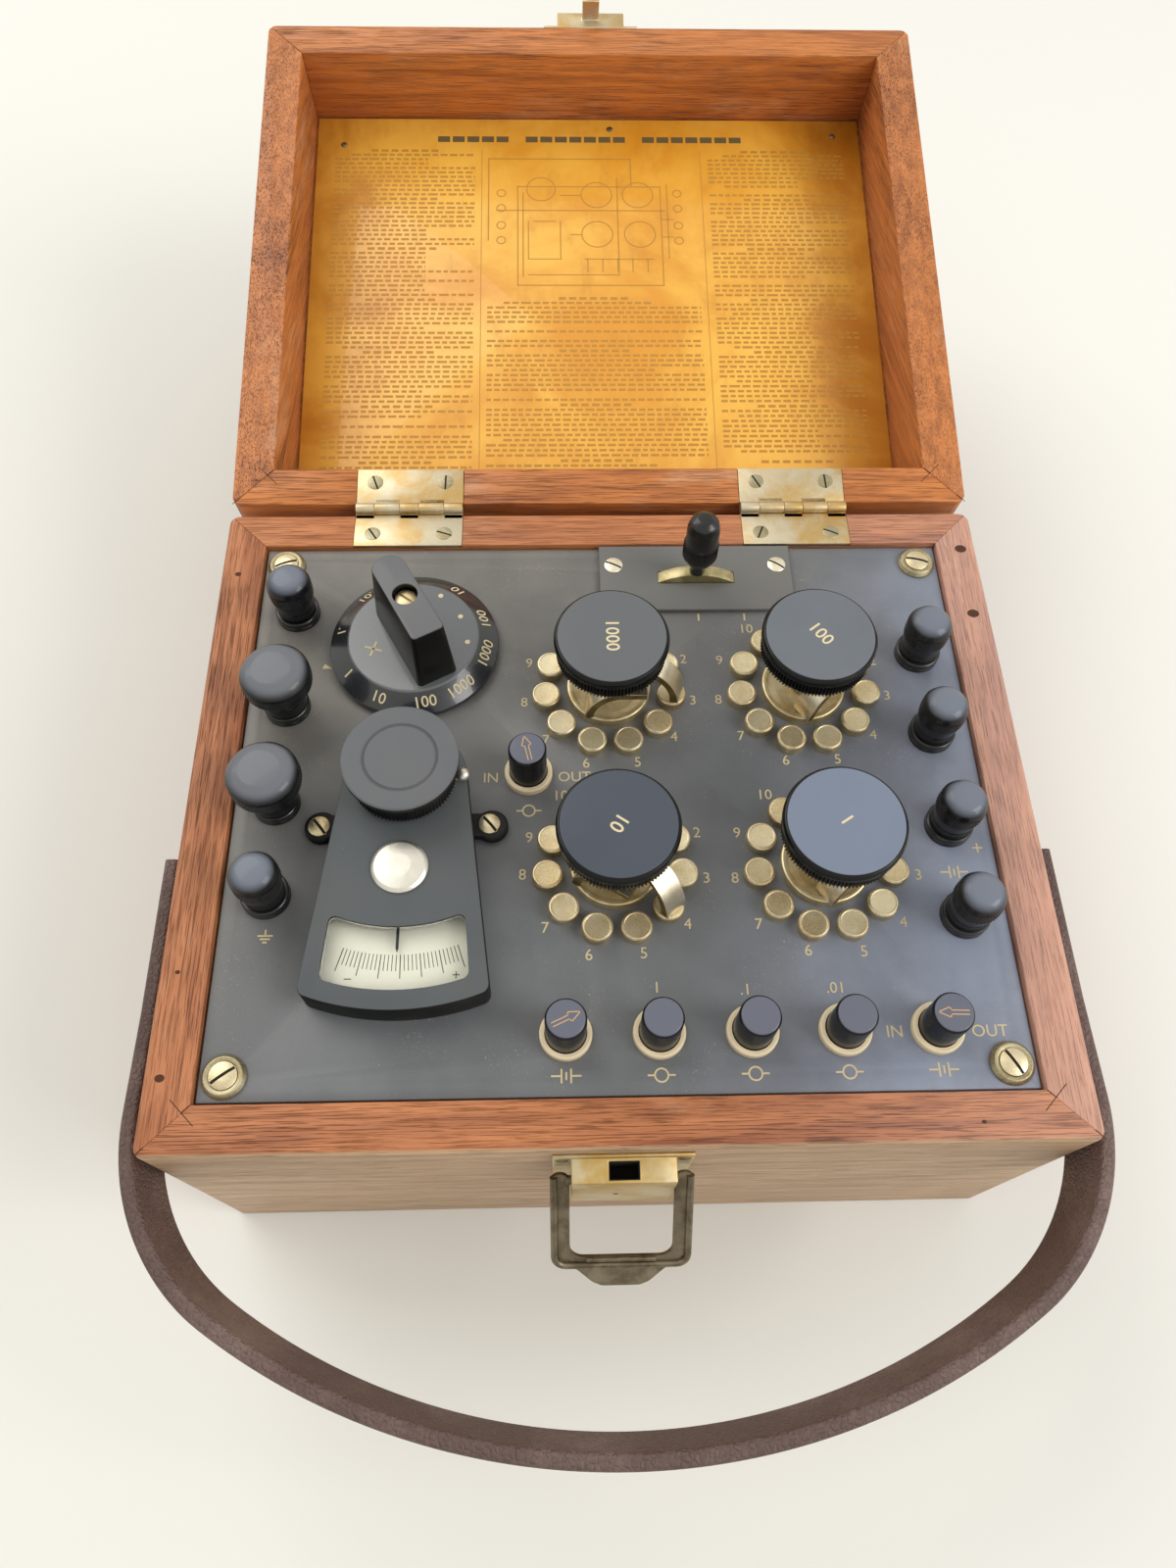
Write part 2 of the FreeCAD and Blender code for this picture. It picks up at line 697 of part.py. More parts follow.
def make_case():
    half_x = s.case_width / 2
    half_y = s.case_depth / 2
    front = board("front_board", half_x, half_y, s.case_wall, s.case_height)
    bevel_top(front, half_y, s.case_height)
    back = board("back_board", half_x, half_y, s.case_wall, s.case_height)
    bevel_top(back, half_y, s.case_height)
    hinge_recess(back, half_y, s.case_wall, s.case_height)
    group("case_ends", [copy_of(front), copy_of(back, turn=180)])
    sides = []
    for name, turn, sign in (("left_board", -90, 1), ("right_board", 90, -1)):
        side = board(name, half_y, half_x, s.case_wall, s.case_height)
        bevel_top(side, half_x, s.case_height)
        sketch = sketch_on(side, "XZ_Plane", half_x + s.overrun)
        hole_mark(sketch, -sign * s.strap_pivot_back, s.strap_height, strap_bore)
        pocket(side, sketch, s.strap_screw_grip + s.overrun)
        sides.append(copy_of(side, turn=turn))
    group("case_sides", sides)
    bottom = box("bottom_board", inner_half_width * 2 - s.board_fit * 2,
                 inner_half_depth * 2 - s.board_fit * 2, s.bottom_thick)
    keep("case_bottom", bottom)


def make_panel():
    half_x = inner_half_width - s.panel_gap
    half_y = inner_half_depth - s.panel_gap
    body = new_body("panel")
    pad(body, rectangle(sketch_on(body, "XY_Plane"), -half_x, half_x, -half_y, half_y), s.panel_thick)
    screw_x = inner_half_width - s.panel_screw_inset
    screw_y = inner_half_depth - s.panel_screw_inset
    holes = [(x, y, spindle_bore, SMALL_SIDES) for x, y in dial_places.values()]
    holes.append((s.ratio_across, s.ratio_back, spindle_bore, SMALL_SIDES))
    holes += [(x, y, key_bore, PIECE_SIDES) for x, y in key_places.values()]
    holes += [(screw_x * x, screw_y * y, panel_screw_bore, SMALL_SIDES)
              for x, y in ((1, 1), (-1, 1), (-1, -1), (1, -1))]
    for hole in holes:
        mark = hole_mark(sketch_on(body, "XY_Plane"), *hole)
        pocket(body, mark, s.panel_thick + s.overrun, upwards=True)
    reach = sector_reach(s.panel_thick) + s.cheek_play
    half_slot = s.selector_slot_width / 2
    slot = rectangle(sketch_on(body, "XY_Plane"), s.selector_across - reach,
                     s.selector_across + reach, s.selector_back - half_slot,
                     s.selector_back + half_slot)
    pocket(body, slot, s.panel_thick + s.overrun, upwards=True)
    keep("panel", place(body, z=panel_under))


def sector_reach(depth):
    """Half width of the brass sector at a depth below the panel's top."""
    drop = s.sector_axis_drop - depth
    return root(s.sector_radius * s.sector_radius - drop * drop)


def make_panel_fixings():
    height = panel_under - s.bottom_thick
    block = new_body("corner_block")
    pad(block, rectangle(sketch_on(block, "XY_Plane"), -s.block_side, 0, -s.block_side, 0), height)
    pilot = hole_mark(sketch_on(block, "XY_Plane", height), -s.panel_screw_inset,
                      -s.panel_screw_inset, panel_screw_bore)
    pocket(block, pilot, s.panel_screw_length - s.panel_thick + s.overrun)
    bowl = band("cup_bowl", s.cup_radius, 0, s.cup_height, SMALL_SIDES,
                top=(s.cup_radius - s.cup_lip, s.cup_height - s.thin_edge))
    cup = bored(bowl, s.panel_screw_head + s.running_fit, -s.overrun, s.cup_height + s.overrun)
    head_top = s.cup_height + s.panel_screw_proud
    head_low = head_top - s.panel_screw_cone
    screw = joined("panel_screw", [band("panel_screw_shank", s.panel_screw_radius,
                                        -s.panel_screw_length, head_low, SMALL_SIDES),
                                   band("panel_screw_head", s.panel_screw_head, head_low, head_top,
                                        SMALL_SIDES)])
    blocks = []
    screws = []
    for x_way, y_way, turn in ((1, 1, 0), (-1, 1, 90), (-1, -1, 180), (1, -1, 270)):
        blocks.append(copy_of(block, inner_half_width * x_way, inner_half_depth * y_way,
                              s.bottom_thick, turn))
        screw_x = (inner_half_width - s.panel_screw_inset) * x_way
        screw_y = (inner_half_depth - s.panel_screw_inset) * y_way
        screws.append(copy_of(cup, screw_x, screw_y, panel_top))
        screws.append(copy_of(screw, screw_x, screw_y, panel_top))
    group("panel_blocks", blocks)
    group("panel_screws", screws)


def make_lid():
    half_x = s.case_width / 2
    half_y = s.case_depth / 2
    front = board("lid_front_board", half_x, half_y, s.lid_wall, s.lid_depth)
    back = board("lid_back_board", half_x, half_y, s.lid_wall, s.lid_depth)
    hinge_recess_low(back, half_y, s.lid_wall)
    left = board("lid_side_board", half_y, half_x, s.lid_wall, s.lid_depth)
    opened(group("lid_ends", [copy_of(front, z=lid_rim), copy_of(back, z=lid_rim, turn=180)]))
    opened(group("lid_sides", [copy_of(left, z=lid_rim, turn=-90),
                               copy_of(left, z=lid_rim, turn=90)]))
    top = new_body("top_board")
    corner = s.case_corner
    near_x = half_x - corner
    near_y = half_y - corner
    corners = [(-near_x, -half_y), (near_x, -half_y), (half_x, -near_y), (half_x, near_y),
               (near_x, half_y), (-near_x, half_y), (-half_x, near_y), (-half_x, -near_y)]
    arcs = {1: corner, 3: corner, 5: corner, 7: corner}
    pad(top, outline(sketch_on(top, "XY_Plane"), corners, arcs), s.lid_board)
    doc.recompute()
    high = [f"Edge{number}" for number, edge in enumerate(top.Shape.Edges, start=1)
            if all(abs(v.Z - s.lid_board.value) < NEARLY for v in edge.Vertexes)]
    bevel(top, top.Tip, high, s.arris * 2)
    opened(group("lid_top", [copy_of(top, z=lid_rim + s.lid_depth)]))
    card = box("card_sheet", (half_x - s.lid_wall - s.card_gap) * 2,
               (half_y - s.lid_wall - s.card_gap) * 2, s.card_thick)
    opened(group("lid_card", [copy_of(card, z=lid_rim + s.lid_depth - s.card_thick)]))


def hinge_recess_low(body, half_across, wall):
    """The same recesses, cut up from the lid's rim."""
    half = s.leaf_width / 2 + s.leaf_fit
    for middle in (-s.hinge_spread, s.hinge_spread):
        sketch = sketch_on(body, "XY_Plane")
        rectangle(sketch, middle - half, middle + half,
                  -half_across - s.overrun, -half_across + wall + s.overrun)
        pocket(body, sketch, s.leaf_thick, upwards=True)


# Hinges

def leaf(name, knuckles):
    """A hinge leaf below its pin; knuckles lists the middle and length of each barrel."""
    plate = box(f"{name}_plate", s.leaf_width, s.case_wall - s.knuckle_gap, s.leaf_thick)
    plate_middle = -s.knuckle_radius - s.knuckle_gap / 2 - s.case_wall / 2
    low = -s.lid_gap / 2 - s.leaf_thick
    pieces = [place(plate, 0, plate_middle, low)]
    for number, (middle, length) in enumerate(knuckles):
        barrel = cylinder(f"{name}_barrel{number}", s.knuckle_radius, length, PIECE_SIDES)
        pieces.append(place(barrel, middle - length / 2, 0, 0, 90, (0, 1, 0)))
        web = box(f"{name}_web{number}", length, s.web_far - s.web_near, s.leaf_thick)
        pieces.append(place(web, middle, (s.web_far + s.web_near) / -2, low))
    solid = joined(f"{name}_solid", pieces)
    bore = cylinder(f"{name}_bore", around(s.hinge_pin_radius + s.running_fit, SMALL_SIDES),
                    s.leaf_width + s.overrun * 2)
    place(bore, -s.leaf_width / 2 - s.overrun, 0, 0, 90, (0, 1, 0))
    return cut(name, solid, bore)


def make_hinges():
    length = case_knuckle - s.knuckle_gap
    outer = (s.leaf_width - length) / 2
    lower = leaf("case_leaf", [(-outer, length), (size(0), length), (outer, length)])
    step = (case_knuckle + s.lid_knuckle) / 2
    upper = leaf("lid_leaf", [(-step, s.lid_knuckle - s.knuckle_gap),
                              (step, s.lid_knuckle - s.knuckle_gap)])
    pin = shaft("hinge_pin", s.hinge_pin_radius, 0, s.leaf_width)
    pieces = []
    leaves = []
    for middle in (-s.hinge_spread, s.hinge_spread):
        pieces.append(copy_of(lower, middle, pin_back, pin_height))
        pieces.append(copy_of(pin, middle - s.leaf_width / 2, pin_back, pin_height, 90, (0, 1, 0)))
        leaves.append(copy_of(upper, middle, pin_back, pin_height, 180, (0, 1, 0)))
    group("hinge_case_leaves", pieces)
    opened(group("hinge_lid_leaves", leaves))


# Latch

def make_latch():
    plate_height = s.lock_height + s.lock_drop - s.lock_plate_drop + s.overrun
    plate = box("lock_plate", s.lock_plate_width, s.lock_plate_thick, plate_height)
    place(plate, 0, front_face - s.lock_plate_thick / 2,
          s.case_height - s.lock_plate_drop - plate_height)
    body = box("lock_body", s.lock_width, s.lock_deep, s.lock_height)
    place(body, 0, slot_middle, s.case_height - s.lock_drop - s.lock_height)
    solid = joined("lock_solid", [plate, body])
    slot = box("lock_slot", s.lock_slot_width, s.lock_slot_deep, s.lock_slot_down + s.overrun)
    place(slot, 0, slot_middle, s.case_height - s.lock_drop - s.lock_slot_down)
    bore = cylinder("lock_bore", around(s.bail_pin_radius + s.running_fit, SMALL_SIDES),
                    s.lock_width + s.overrun * 2)
    place(bore, -s.lock_width / 2 - s.overrun, front_face - s.bail_out,
          s.case_height - s.bail_drop, 90, (0, 1, 0))
    keep("latch_lock", cut("latch_lock", solid, joined("lock_cuts", [slot, bore])))

    inner = s.bail_inner / 2
    outer = s.bail_outer / 2
    bar = s.bail_reach + s.bail_bar
    tip = s.bail_tab_width / 2
    frame = new_body("bail_frame")
    corners = [(-outer, -s.bail_heel), (-inner, -s.bail_heel), (-inner, s.bail_reach),
               (inner, s.bail_reach), (inner, -s.bail_heel), (outer, -s.bail_heel),
               (outer, bar), (tip, bar + s.bail_tab), (-tip, bar + s.bail_tab), (-outer, bar)]
    pad(frame, outline(sketch_on(frame, "XZ_Plane"), corners), s.bail_thick, both_ways=True)
    stubs = []
    length = s.bail_pin_length + s.overrun
    for name, start in (("bail_stub_left", -inner - s.overrun),
                        ("bail_stub_right", inner + s.overrun - length)):
        stub = cylinder(name, s.bail_pin_radius, length)
        stubs.append(place(stub, start, 0, 0, 90, (0, 1, 0)))
    bail = joined("bail_solid", [frame] + stubs)
    hung = copy_of(bail, 0, front_face - s.bail_out, s.case_height - s.bail_drop,
                   s.bail_hang, (1, 0, 0))
    group("latch_bail", [hung])

    catch_plate = box("catch_plate", s.catch_plate_width, s.lock_plate_thick, s.catch_plate_height)
    place(catch_plate, 0, front_face - s.lock_plate_thick / 2, lid_rim)
    catch_box = box("catch_box", s.catch_width, s.lock_deep, s.catch_height)
    place(catch_box, 0, slot_middle, lid_rim)
    tongue = box("catch_tongue", s.tongue_width, s.tongue_thick, s.tongue_drop + s.overrun)
    place(tongue, 0, slot_middle, lid_rim - s.tongue_drop)
    catch = joined("catch_solid", [catch_plate, catch_box, tongue])
    opened(group("lid_catch", [copy_of(catch)]))


# Leather strap and its two screws

def make_strap():
    corner_x = strap_half - s.strap_corner_radius
    corner_y = front_face + s.strap_corner_start
    lead = s.strap_bow + s.strap_corner_start
    chord = lead * lead + corner_x * corner_x - s.strap_corner_radius * s.strap_corner_radius
    front_radius = chord / ((lead - s.strap_corner_radius) * 2)
    front_centre = front_face - s.strap_bow + front_radius
    between = front_radius - s.strap_corner_radius
    drop = front_centre - corner_y
    end = s.strap_pivot_back + s.strap_end

    def half_line(inset):
        """Outer or inner face from the right end to the tangent point at the front."""
        front = front_radius - inset
        return [(strap_half - inset, end), (strap_half - inset, corner_y),
                (front * corner_x / between, front_centre - front * drop / between)]

    outside = half_line(size(0))
    inside = half_line(s.strap_thick)
    corners = outside + [(-x, y) for x, y in reversed(outside)]
    corners += [(-x, y) for x, y in inside] + list(reversed(inside))
    inner_corner = s.strap_corner_radius - s.strap_thick
    inner_front = front_radius - s.strap_thick
    arcs = {1: -s.strap_corner_radius, 2: -front_radius, 3: -s.strap_corner_radius,
            7: inner_corner, 8: inner_front, 9: inner_corner}
    body = new_body("strap")
    sketch = outline(sketch_on(body, "XY_Plane", s.strap_height - s.strap_width / 2), corners, arcs)
    pad(body, sketch, s.strap_width)
    hole = hole_mark(sketch_on(body, "YZ_Plane", -strap_half - s.overrun), s.strap_pivot_back,
                     s.strap_height, strap_bore)
    pocket(body, hole, (strap_half + s.overrun) * 2, upwards=True)
    keep("strap", body)

    spacer = s.strap_gap - s.strap_play
    washer = bored(band("strap_washer", s.strap_washer_radius, 0, spacer),
                   s.strap_screw_radius + s.running_fit, -s.overrun, spacer + s.overrun)
    head = s.strap_gap + s.strap_thick + s.strap_play
    head_top = head + s.strap_screw_dome
    screw = joined("strap_screw", [band("strap_shank", s.strap_screw_radius, -s.strap_screw_grip,
                                        head, SMALL_SIDES),
                                   band("strap_screw_head", s.strap_screw_head, head, head_top,
                                        top=(s.arris, s.strap_screw_dome - s.thin_edge))])
    pieces = []
    for way in (-1, 1):
        for piece in (washer, screw):
            pieces.append(copy_of(piece, s.case_width / 2 * way, s.strap_pivot_back,
                                  s.strap_height, 90 * way, (0, 1, 0)))
    group("strap_pivots", pieces)


# Decade switches

def make_contacts():
    stud = cylinder("contact_stud", s.contact_radius, s.contact_height)
    disc = cylinder("collector_disc", s.collector_radius, s.contact_height, DISC_SIDES)
    collector = bored(disc, spindle_bore, -s.overrun, s.contact_height + s.overrun)
    spool = cylinder("spool", s.spool_radius, s.spool_height, SPOOL_SIDES)
    contacts = []
    spools = []
    for x, y in dial_places.values():
        contacts.append(copy_of(collector, x, y, panel_top))
        for number in range(CONTACTS):
            angle = math.radians(number * 360 / CONTACTS)
            contacts.append(copy_of(stud, x + s.contact_circle * math.sin(angle),
                                    y + s.contact_circle * math.cos(angle), panel_top))
        for number in range(SPOOLS):
            angle = math.radians(number * 360 / SPOOLS)
            spools.append(copy_of(spool, x + s.contact_circle * math.sin(angle),
                                  y + s.contact_circle * math.cos(angle),
                                  panel_under - s.spool_height))
    group("decade_contacts", contacts)
    group("resistance_spools", spools)


def make_brush_strip():
    """A bent laminated strip: its foot lies on a contact, its other end in the holder."""
    body = new_body("brush_strip")
    low = s.contact_height + s.brush_gap
    high = s.knob_base - s.brush_thick
    lean = s.brush_thick / 2
    corners = [(s.brush_toe, low), (-s.brush_heel, low), (-s.brush_rise, high), (-s.brush_end, high),
               (-s.brush_end, s.knob_base), (lean - s.brush_rise, s.knob_base),
               (lean - s.brush_heel, low + s.brush_thick), (s.brush_toe, low + s.brush_thick)]
    pad(body, outline(sketch_on(body, "XZ_Plane"), corners), s.brush_width, both_ways=True)
    return body


def make_switches():
    """Knob, spindle and laminated brush of each decade, set to the photographed reading."""
    band_low = s.knob_top - s.knob_band
    blank = joined("knob", [band("knob_skirt", s.knob_skirt, s.knob_base, band_low, KNOB_SIDES),
                            band("knob_band", s.knob_radius, band_low, s.knob_top, KNOB_SIDES,
                                 top=(s.knob_radius - s.knob_face, s.knob_bevel))])
    knob = bored(blank, spindle_bore, s.knob_base - s.overrun,
                 s.knob_base + s.spindle_grip + s.running_fit)
    strip = make_brush_strip()
    outer = copy_of(strip, 0, s.contact_circle, 0, s.brush_sweep)
    lag = -s.inner_lag
    inner = copy_of(strip, -s.inner_foot * sine(lag), s.inner_foot * cosine(lag), 0,
                    lag + s.inner_sweep)
    hub = cylinder("brush_hub", s.hub_radius, s.brush_thick, DISC_SIDES)
    place(hub, z=s.knob_base - s.brush_thick)
    spindle = shaft("spindle", s.spindle_radius, -s.panel_thick - s.spindle_drop,
                    s.knob_base + s.spindle_grip)
    brush = joined("brush_solid", [spindle, hub, outer, inner])
    for name, reading in zip(DECADES, READINGS):
        x, y = dial_places[name]
        turn = -reading * 360 / CONTACTS
        group(f"{name}_knob", [copy_of(knob, x, y, panel_top, turn)])
        group(f"{name}_brush", [copy_of(brush, x, y, panel_top, turn)])


def make_ratio_dial():
    disc = band("ratio_disc", s.ratio_radius, s.ratio_lift, s.ratio_height, KNOB_SIDES,
                top=(s.ratio_radius - s.ratio_face, s.ratio_height - s.ratio_edge))
    body = new_body("ratio_grip")
    foot = rectangle(sketch_on(body, "XY_Plane", s.ratio_height), -s.grip_foot / 2, s.grip_foot / 2,
                     -s.grip_foot_length / 2, s.grip_foot_length / 2)
    top = rectangle(sketch_on(body, "XY_Plane", s.grip_top), -s.grip_width / 2, s.grip_width / 2,
                    -s.grip_length / 2, s.grip_length / 2)
    grip = body.newObject("PartDesign::AdditiveLoft", "ratio_grip_loft")
    grip.Profile = foot
    grip.Sections = [top]
    grip.Ruled = True
    sunk = hole_mark(sketch_on(body, "XY_Plane", s.grip_top), 0, 0, s.grip_screw_radius)
    pocket(body, sunk, s.grip_screw_deep)
    dial = bored(joined("ratio_blank", [disc, body]), spindle_bore, s.ratio_lift - s.overrun,
                 s.spindle_grip)
    group("ratio_dial", [copy_of(dial, s.ratio_across, s.ratio_back, panel_top, s.grip_turn)])
    low = s.panel_thick + s.spindle_drop
    spindle = cylinder("ratio_spindle", s.spindle_radius, low + s.spindle_grip - s.running_fit)
    keep("ratio_spindle", place(spindle, s.ratio_across, s.ratio_back, panel_top - low))


# Switch lever behind the dials

def make_selector():
    plate = new_body("cover_plate")
    half_x = s.selector_plate_width / 2
    half_y = s.selector_plate_depth / 2
    pad(plate, rectangle(sketch_on(plate, "XY_Plane"), -half_x, half_x, -half_y, half_y),
        s.selector_plate_thick)
    half_slot = s.selector_slot / 2
    slot_foot = sector_reach(size(0)) + s.cheek_play
    slot = outline(sketch_on(plate, "XZ_Plane"),
                   [(-slot_foot, size(0)), (slot_foot, size(0)),
                    (half_slot, s.selector_plate_thick), (-half_slot, s.selector_plate_thick)])
    pocket(plate, slot, s.selector_slot_width, both_ways=True)
    cheek = new_body("cheek")
    low = -s.sector_axis_drop - s.axle_radius * 2
    half = s.cheek_width / 2
    pad(cheek, rectangle(sketch_on(cheek, "XZ_Plane"), -half, half, low, -s.panel_thick),
        s.cheek_thick, both_ways=True)
    hole = hole_mark(sketch_on(cheek, "XZ_Plane", -s.cheek_thick), 0, -s.sector_axis_drop,
                     s.axle_radius + s.running_fit)
    pocket(cheek, hole, s.cheek_thick * 2, upwards=True)
    aside = s.sector_thick / 2 + s.cheek_play + s.cheek_thick / 2
    keep("selector_plate", place(plate, s.selector_across, s.selector_back, panel_top))
    group("selector_bracket", [copy_of(cheek, s.selector_across, s.selector_back + aside, panel_top),
                               copy_of(cheek, s.selector_across, s.selector_back - aside, panel_top)])

    sector = new_body("sector_blade")
    hub = s.axle_radius * 2
    corners = [(-hub, -hub), (hub, -hub)]
    for step in range(SMALL_SIDES + 1):
        turn = s.sector_span * (1 - 2 * step / SMALL_SIDES)
        corners.append((s.sector_radius * sine(turn), s.sector_radius * cosine(turn)))
    pad(sector, outline(sketch_on(sector, "XZ_Plane"), corners), s.sector_thick, both_ways=True)
    axle = cylinder("sector_axle", s.axle_radius, s.axle_length)
    place(axle, 0, s.axle_length / 2, 0, 90, (1, 0, 0))
    blade = joined("sector_solid", [sector, axle])
    group("selector_sector", [copy_of(blade, s.selector_across, s.selector_back,
                                      panel_top - s.sector_axis_drop)])

    foot = s.sector_radius - s.sector_axis_drop
    waist = band("lever_waist", s.lever_waist, foot, s.lever_belt_low)
    belt = band("lever_belt", s.lever_belt, s.lever_waist_top, s.lever_neck_height,
                foot=(s.lever_belt - s.lever_waist, s.lever_belt_low - s.lever_waist_top),
                top=(s.lever_belt - s.lever_neck, s.lever_neck_height - s.lever_belt_high))
    dome = band("lever_dome", s.lever_dome, s.lever_neck_height, s.lever_top,
                foot=(s.lever_dome - s.lever_neck, s.lever_dome_low - s.lever_neck_height),
                top=(s.lever_dome - s.lever_crown, s.lever_top - s.lever_dome_high))
    lever = joined("lever_turning", [waist, belt, dome])
    group("selector_lever", [copy_of(lever, s.selector_across, s.selector_back, panel_top)])


# Galvanometer

def front_curve(reach, half, steps):
    """Corners from left to right along a curve about the pivot, in front of it."""
    corners = []
    for step in range(steps + 1):
        x = half * (2 * step / steps - 1)
        corners.append((x, -root(reach * reach - x * x)))
    return corners


def sector_outline(far, near, far_half, near_half, grow):
    """A piece of a ring in front of the pivot, grown by a margin all round."""
    front = front_curve(far + grow, far_half + grow, WINDOW_STEPS)
    return front + front_curve(near - grow, near_half + grow, WINDOW_STEPS)[::-1]


def half_round(x, y, radius, first):
    """Corners anticlockwise round half a circle, starting at so many degrees."""
    corners = []
    for step in range(HALF_STEPS + 1):
        turn = math.radians(first + 180 * step / HALF_STEPS)
        corners.append((x + radius * math.cos(turn), y + radius * math.sin(turn)))
    return corners


def housing_outline(grow):
    """The housing in plan: a curved front, two straight sides and a round back."""
    front = front_curve(s.galv_reach + grow, s.galv_front_half + grow, FRONT_STEPS)
    return front + half_round(size(0), size(0), s.galv_back_radius + grow, 0)


def make_galvanometer():
    housing = new_body("galvanometer_case")
    pad(housing, outline(sketch_on(housing, "XY_Plane"), housing_outline(size(0))), s.galv_height)
    front = -s.galv_ear_front
    lugs = (half_round(s.galv_ear_across, front, s.galv_ear_radius, -90)
            + half_round(-s.galv_ear_across, front, s.galv_ear_radius, 90))
    pad(housing, outline(sketch_on(housing, "XY_Plane"), lugs), s.galv_ear_height)
    hollow = outline(sketch_on(housing, "XY_Plane"), housing_outline(-s.galv_wall))
    pocket(housing, hollow, s.galv_height - s.galv_top, upwards=True)
    window = (s.window_far, s.window_near, s.window_far_half, s.window_near_half)
    opening = outline(sketch_on(housing, "XY_Plane", s.galv_height + s.overrun),
                      sector_outline(*window, size(0)))
    pocket(housing, opening, s.galv_top + s.overrun * 2)
    hole = hole_mark(sketch_on(housing, "XY_Plane", s.galv_height + s.overrun), 0, 0,
                     s.adjuster_spigot + s.running_fit, PIECE_SIDES)
    pocket(housing, hole, s.galv_top + s.overrun * 2)
    keep("galvanometer_case", place(housing, s.galv_across, s.galv_back, panel_top))

    glass = new_body("galvanometer_window")
    low = s.galv_height - s.galv_top
    pane = outline(sketch_on(glass, "XY_Plane", low), sector_outline(*window, -s.glass_fit))
    pad(glass, pane, s.glass_thick)
    keep("galvanometer_window", place(glass, s.galv_across, s.galv_back, panel_top))

    scale = new_body("galvanometer_scale")
    dial = outline(sketch_on(scale, "XY_Plane"), sector_outline(*window, s.scale_rim))
    pad(scale, dial, s.scale_height)
    keep("galvanometer_scale", place(scale, s.galv_across, s.galv_back, panel_top))

    button = band("button_turning", s.button_radius, 0, s.button_height, DISC_SIDES,
                  top=(s.button_radius / 2, s.button_height / 2))
    group("galvanometer_button", [copy_of(button, s.galv_across, s.galv_back - s.button_front,
                                          panel_top + s.galv_height)])

    magnet = new_body("galvanometer_magnet")
    half = s.magnet_width / 2
    gap = s.magnet_slot / 2
    crown = s.magnet_length - half
    corners = [(-half, -crown), (-half, half), (-gap, half), (-gap, -crown + gap),
               (gap, -crown + gap), (gap, half), (half, half), (half, -crown)]
    pad(magnet, outline(sketch_on(magnet, "XY_Plane"), list(reversed(corners))), s.magnet_height)
    keep("galvanometer_magnet", place(magnet, s.galv_across, s.galv_back,
                                      panel_under - s.magnet_height))

    post = cylinder("pointer_post", s.pointer_hub, s.pointer_post - s.running_fit)
    place(post, z=s.running_fit)
    needle = box("pointer_needle", s.pointer_width, s.pointer_length, s.pointer_width)
    place(needle, 0, -s.pointer_length / 2, s.pointer_height)
    pointer = joined("pointer_solid", [post, needle])
    group("galvanometer_pointer", [copy_of(pointer, s.galv_across, s.galv_back, panel_top)])

    spigot = band("adjuster_spigot", s.adjuster_spigot, s.spigot_base, s.adjuster_base)
    barrel_high = s.adjuster_disc - s.adjuster_base
    barrel = band("adjuster_barrel", s.adjuster_barrel, s.adjuster_base, s.adjuster_disc,
                  KNOB_SIDES, foot=(s.adjuster_barrel - s.adjuster_foot, barrel_high - s.thin_edge))
    disc = band("adjuster_disc", s.adjuster_radius, s.adjuster_disc, s.adjuster_top, KNOB_SIDES)
    adjuster = joined("adjuster_turning", [spigot, barrel, disc])
    group("zero_adjuster", [copy_of(adjuster, s.galv_across, s.galv_back, panel_top)])

    low = s.galv_height + s.clamp_gap
    ball_at = s.adjuster_foot + s.clamp_ball_play + s.clamp_ball_radius
    ring = cylinder("clamp_ring", s.clamp_ring, s.clamp_thick, PIECE_SIDES)
    place(ring, z=low)
    arm = box("clamp_arm", ball_at, s.clamp_arm, s.clamp_thick)
    place(arm, ball_at / 2, 0, low)
    slope = (s.clamp_ball_radius - s.clamp_ball_flat, s.clamp_ball_shoulder)
    ball = band("clamp_ball", s.clamp_ball_radius, 0, s.clamp_ball_height, SMALL_SIDES,
                foot=slope, top=slope)
    blank = joined("clamp_blank", [ring, arm, copy_of(ball, ball_at, 0, low)])
    clamp = bored(blank, s.adjuster_spigot + s.running_fit, low - s.overrun,
                  low + s.clamp_thick + s.overrun, PIECE_SIDES)
    group("clamp_lever", [copy_of(clamp, s.galv_across, s.galv_back, panel_top)])


# Keys and turning switches

def make_keys():
    ring = cylinder("key_collar", s.collar_radius, s.collar_height, PIECE_SIDES)
    collar = bored(ring, key_bore, -s.overrun, s.collar_height + s.overrun, PIECE_SIDES)
    cap = band("key_cap", s.key_radius, -s.panel_thick - s.key_tail, s.key_top,
               top=(s.key_bevel, s.key_bevel))
    blade = new_body("contact_blade")
    top = -s.key_tail - s.key_travel - s.blade_play
    low = top - s.blade_thick
    corners = [(s.blade_length, 0), (s.blade_length, top), (-s.blade_tip, top), (-s.blade_tip, low),
               (s.blade_length + s.blade_foot, low), (s.blade_length + s.blade_foot, 0)]
    pad(blade, outline(sketch_on(blade, "YZ_Plane"), corners), s.blade_width, both_ways=True)
    collars = []
    blades = []
    for name, (x, y) in key_places.items():
        collars.append(copy_of(collar, x, y, panel_top))
        blades.append(copy_of(blade, x, y, panel_under))
        group(name, [copy_of(cap, x, y, panel_top)])
    group("key_collars", collars)
    group("key_blades", blades)


# Binding posts

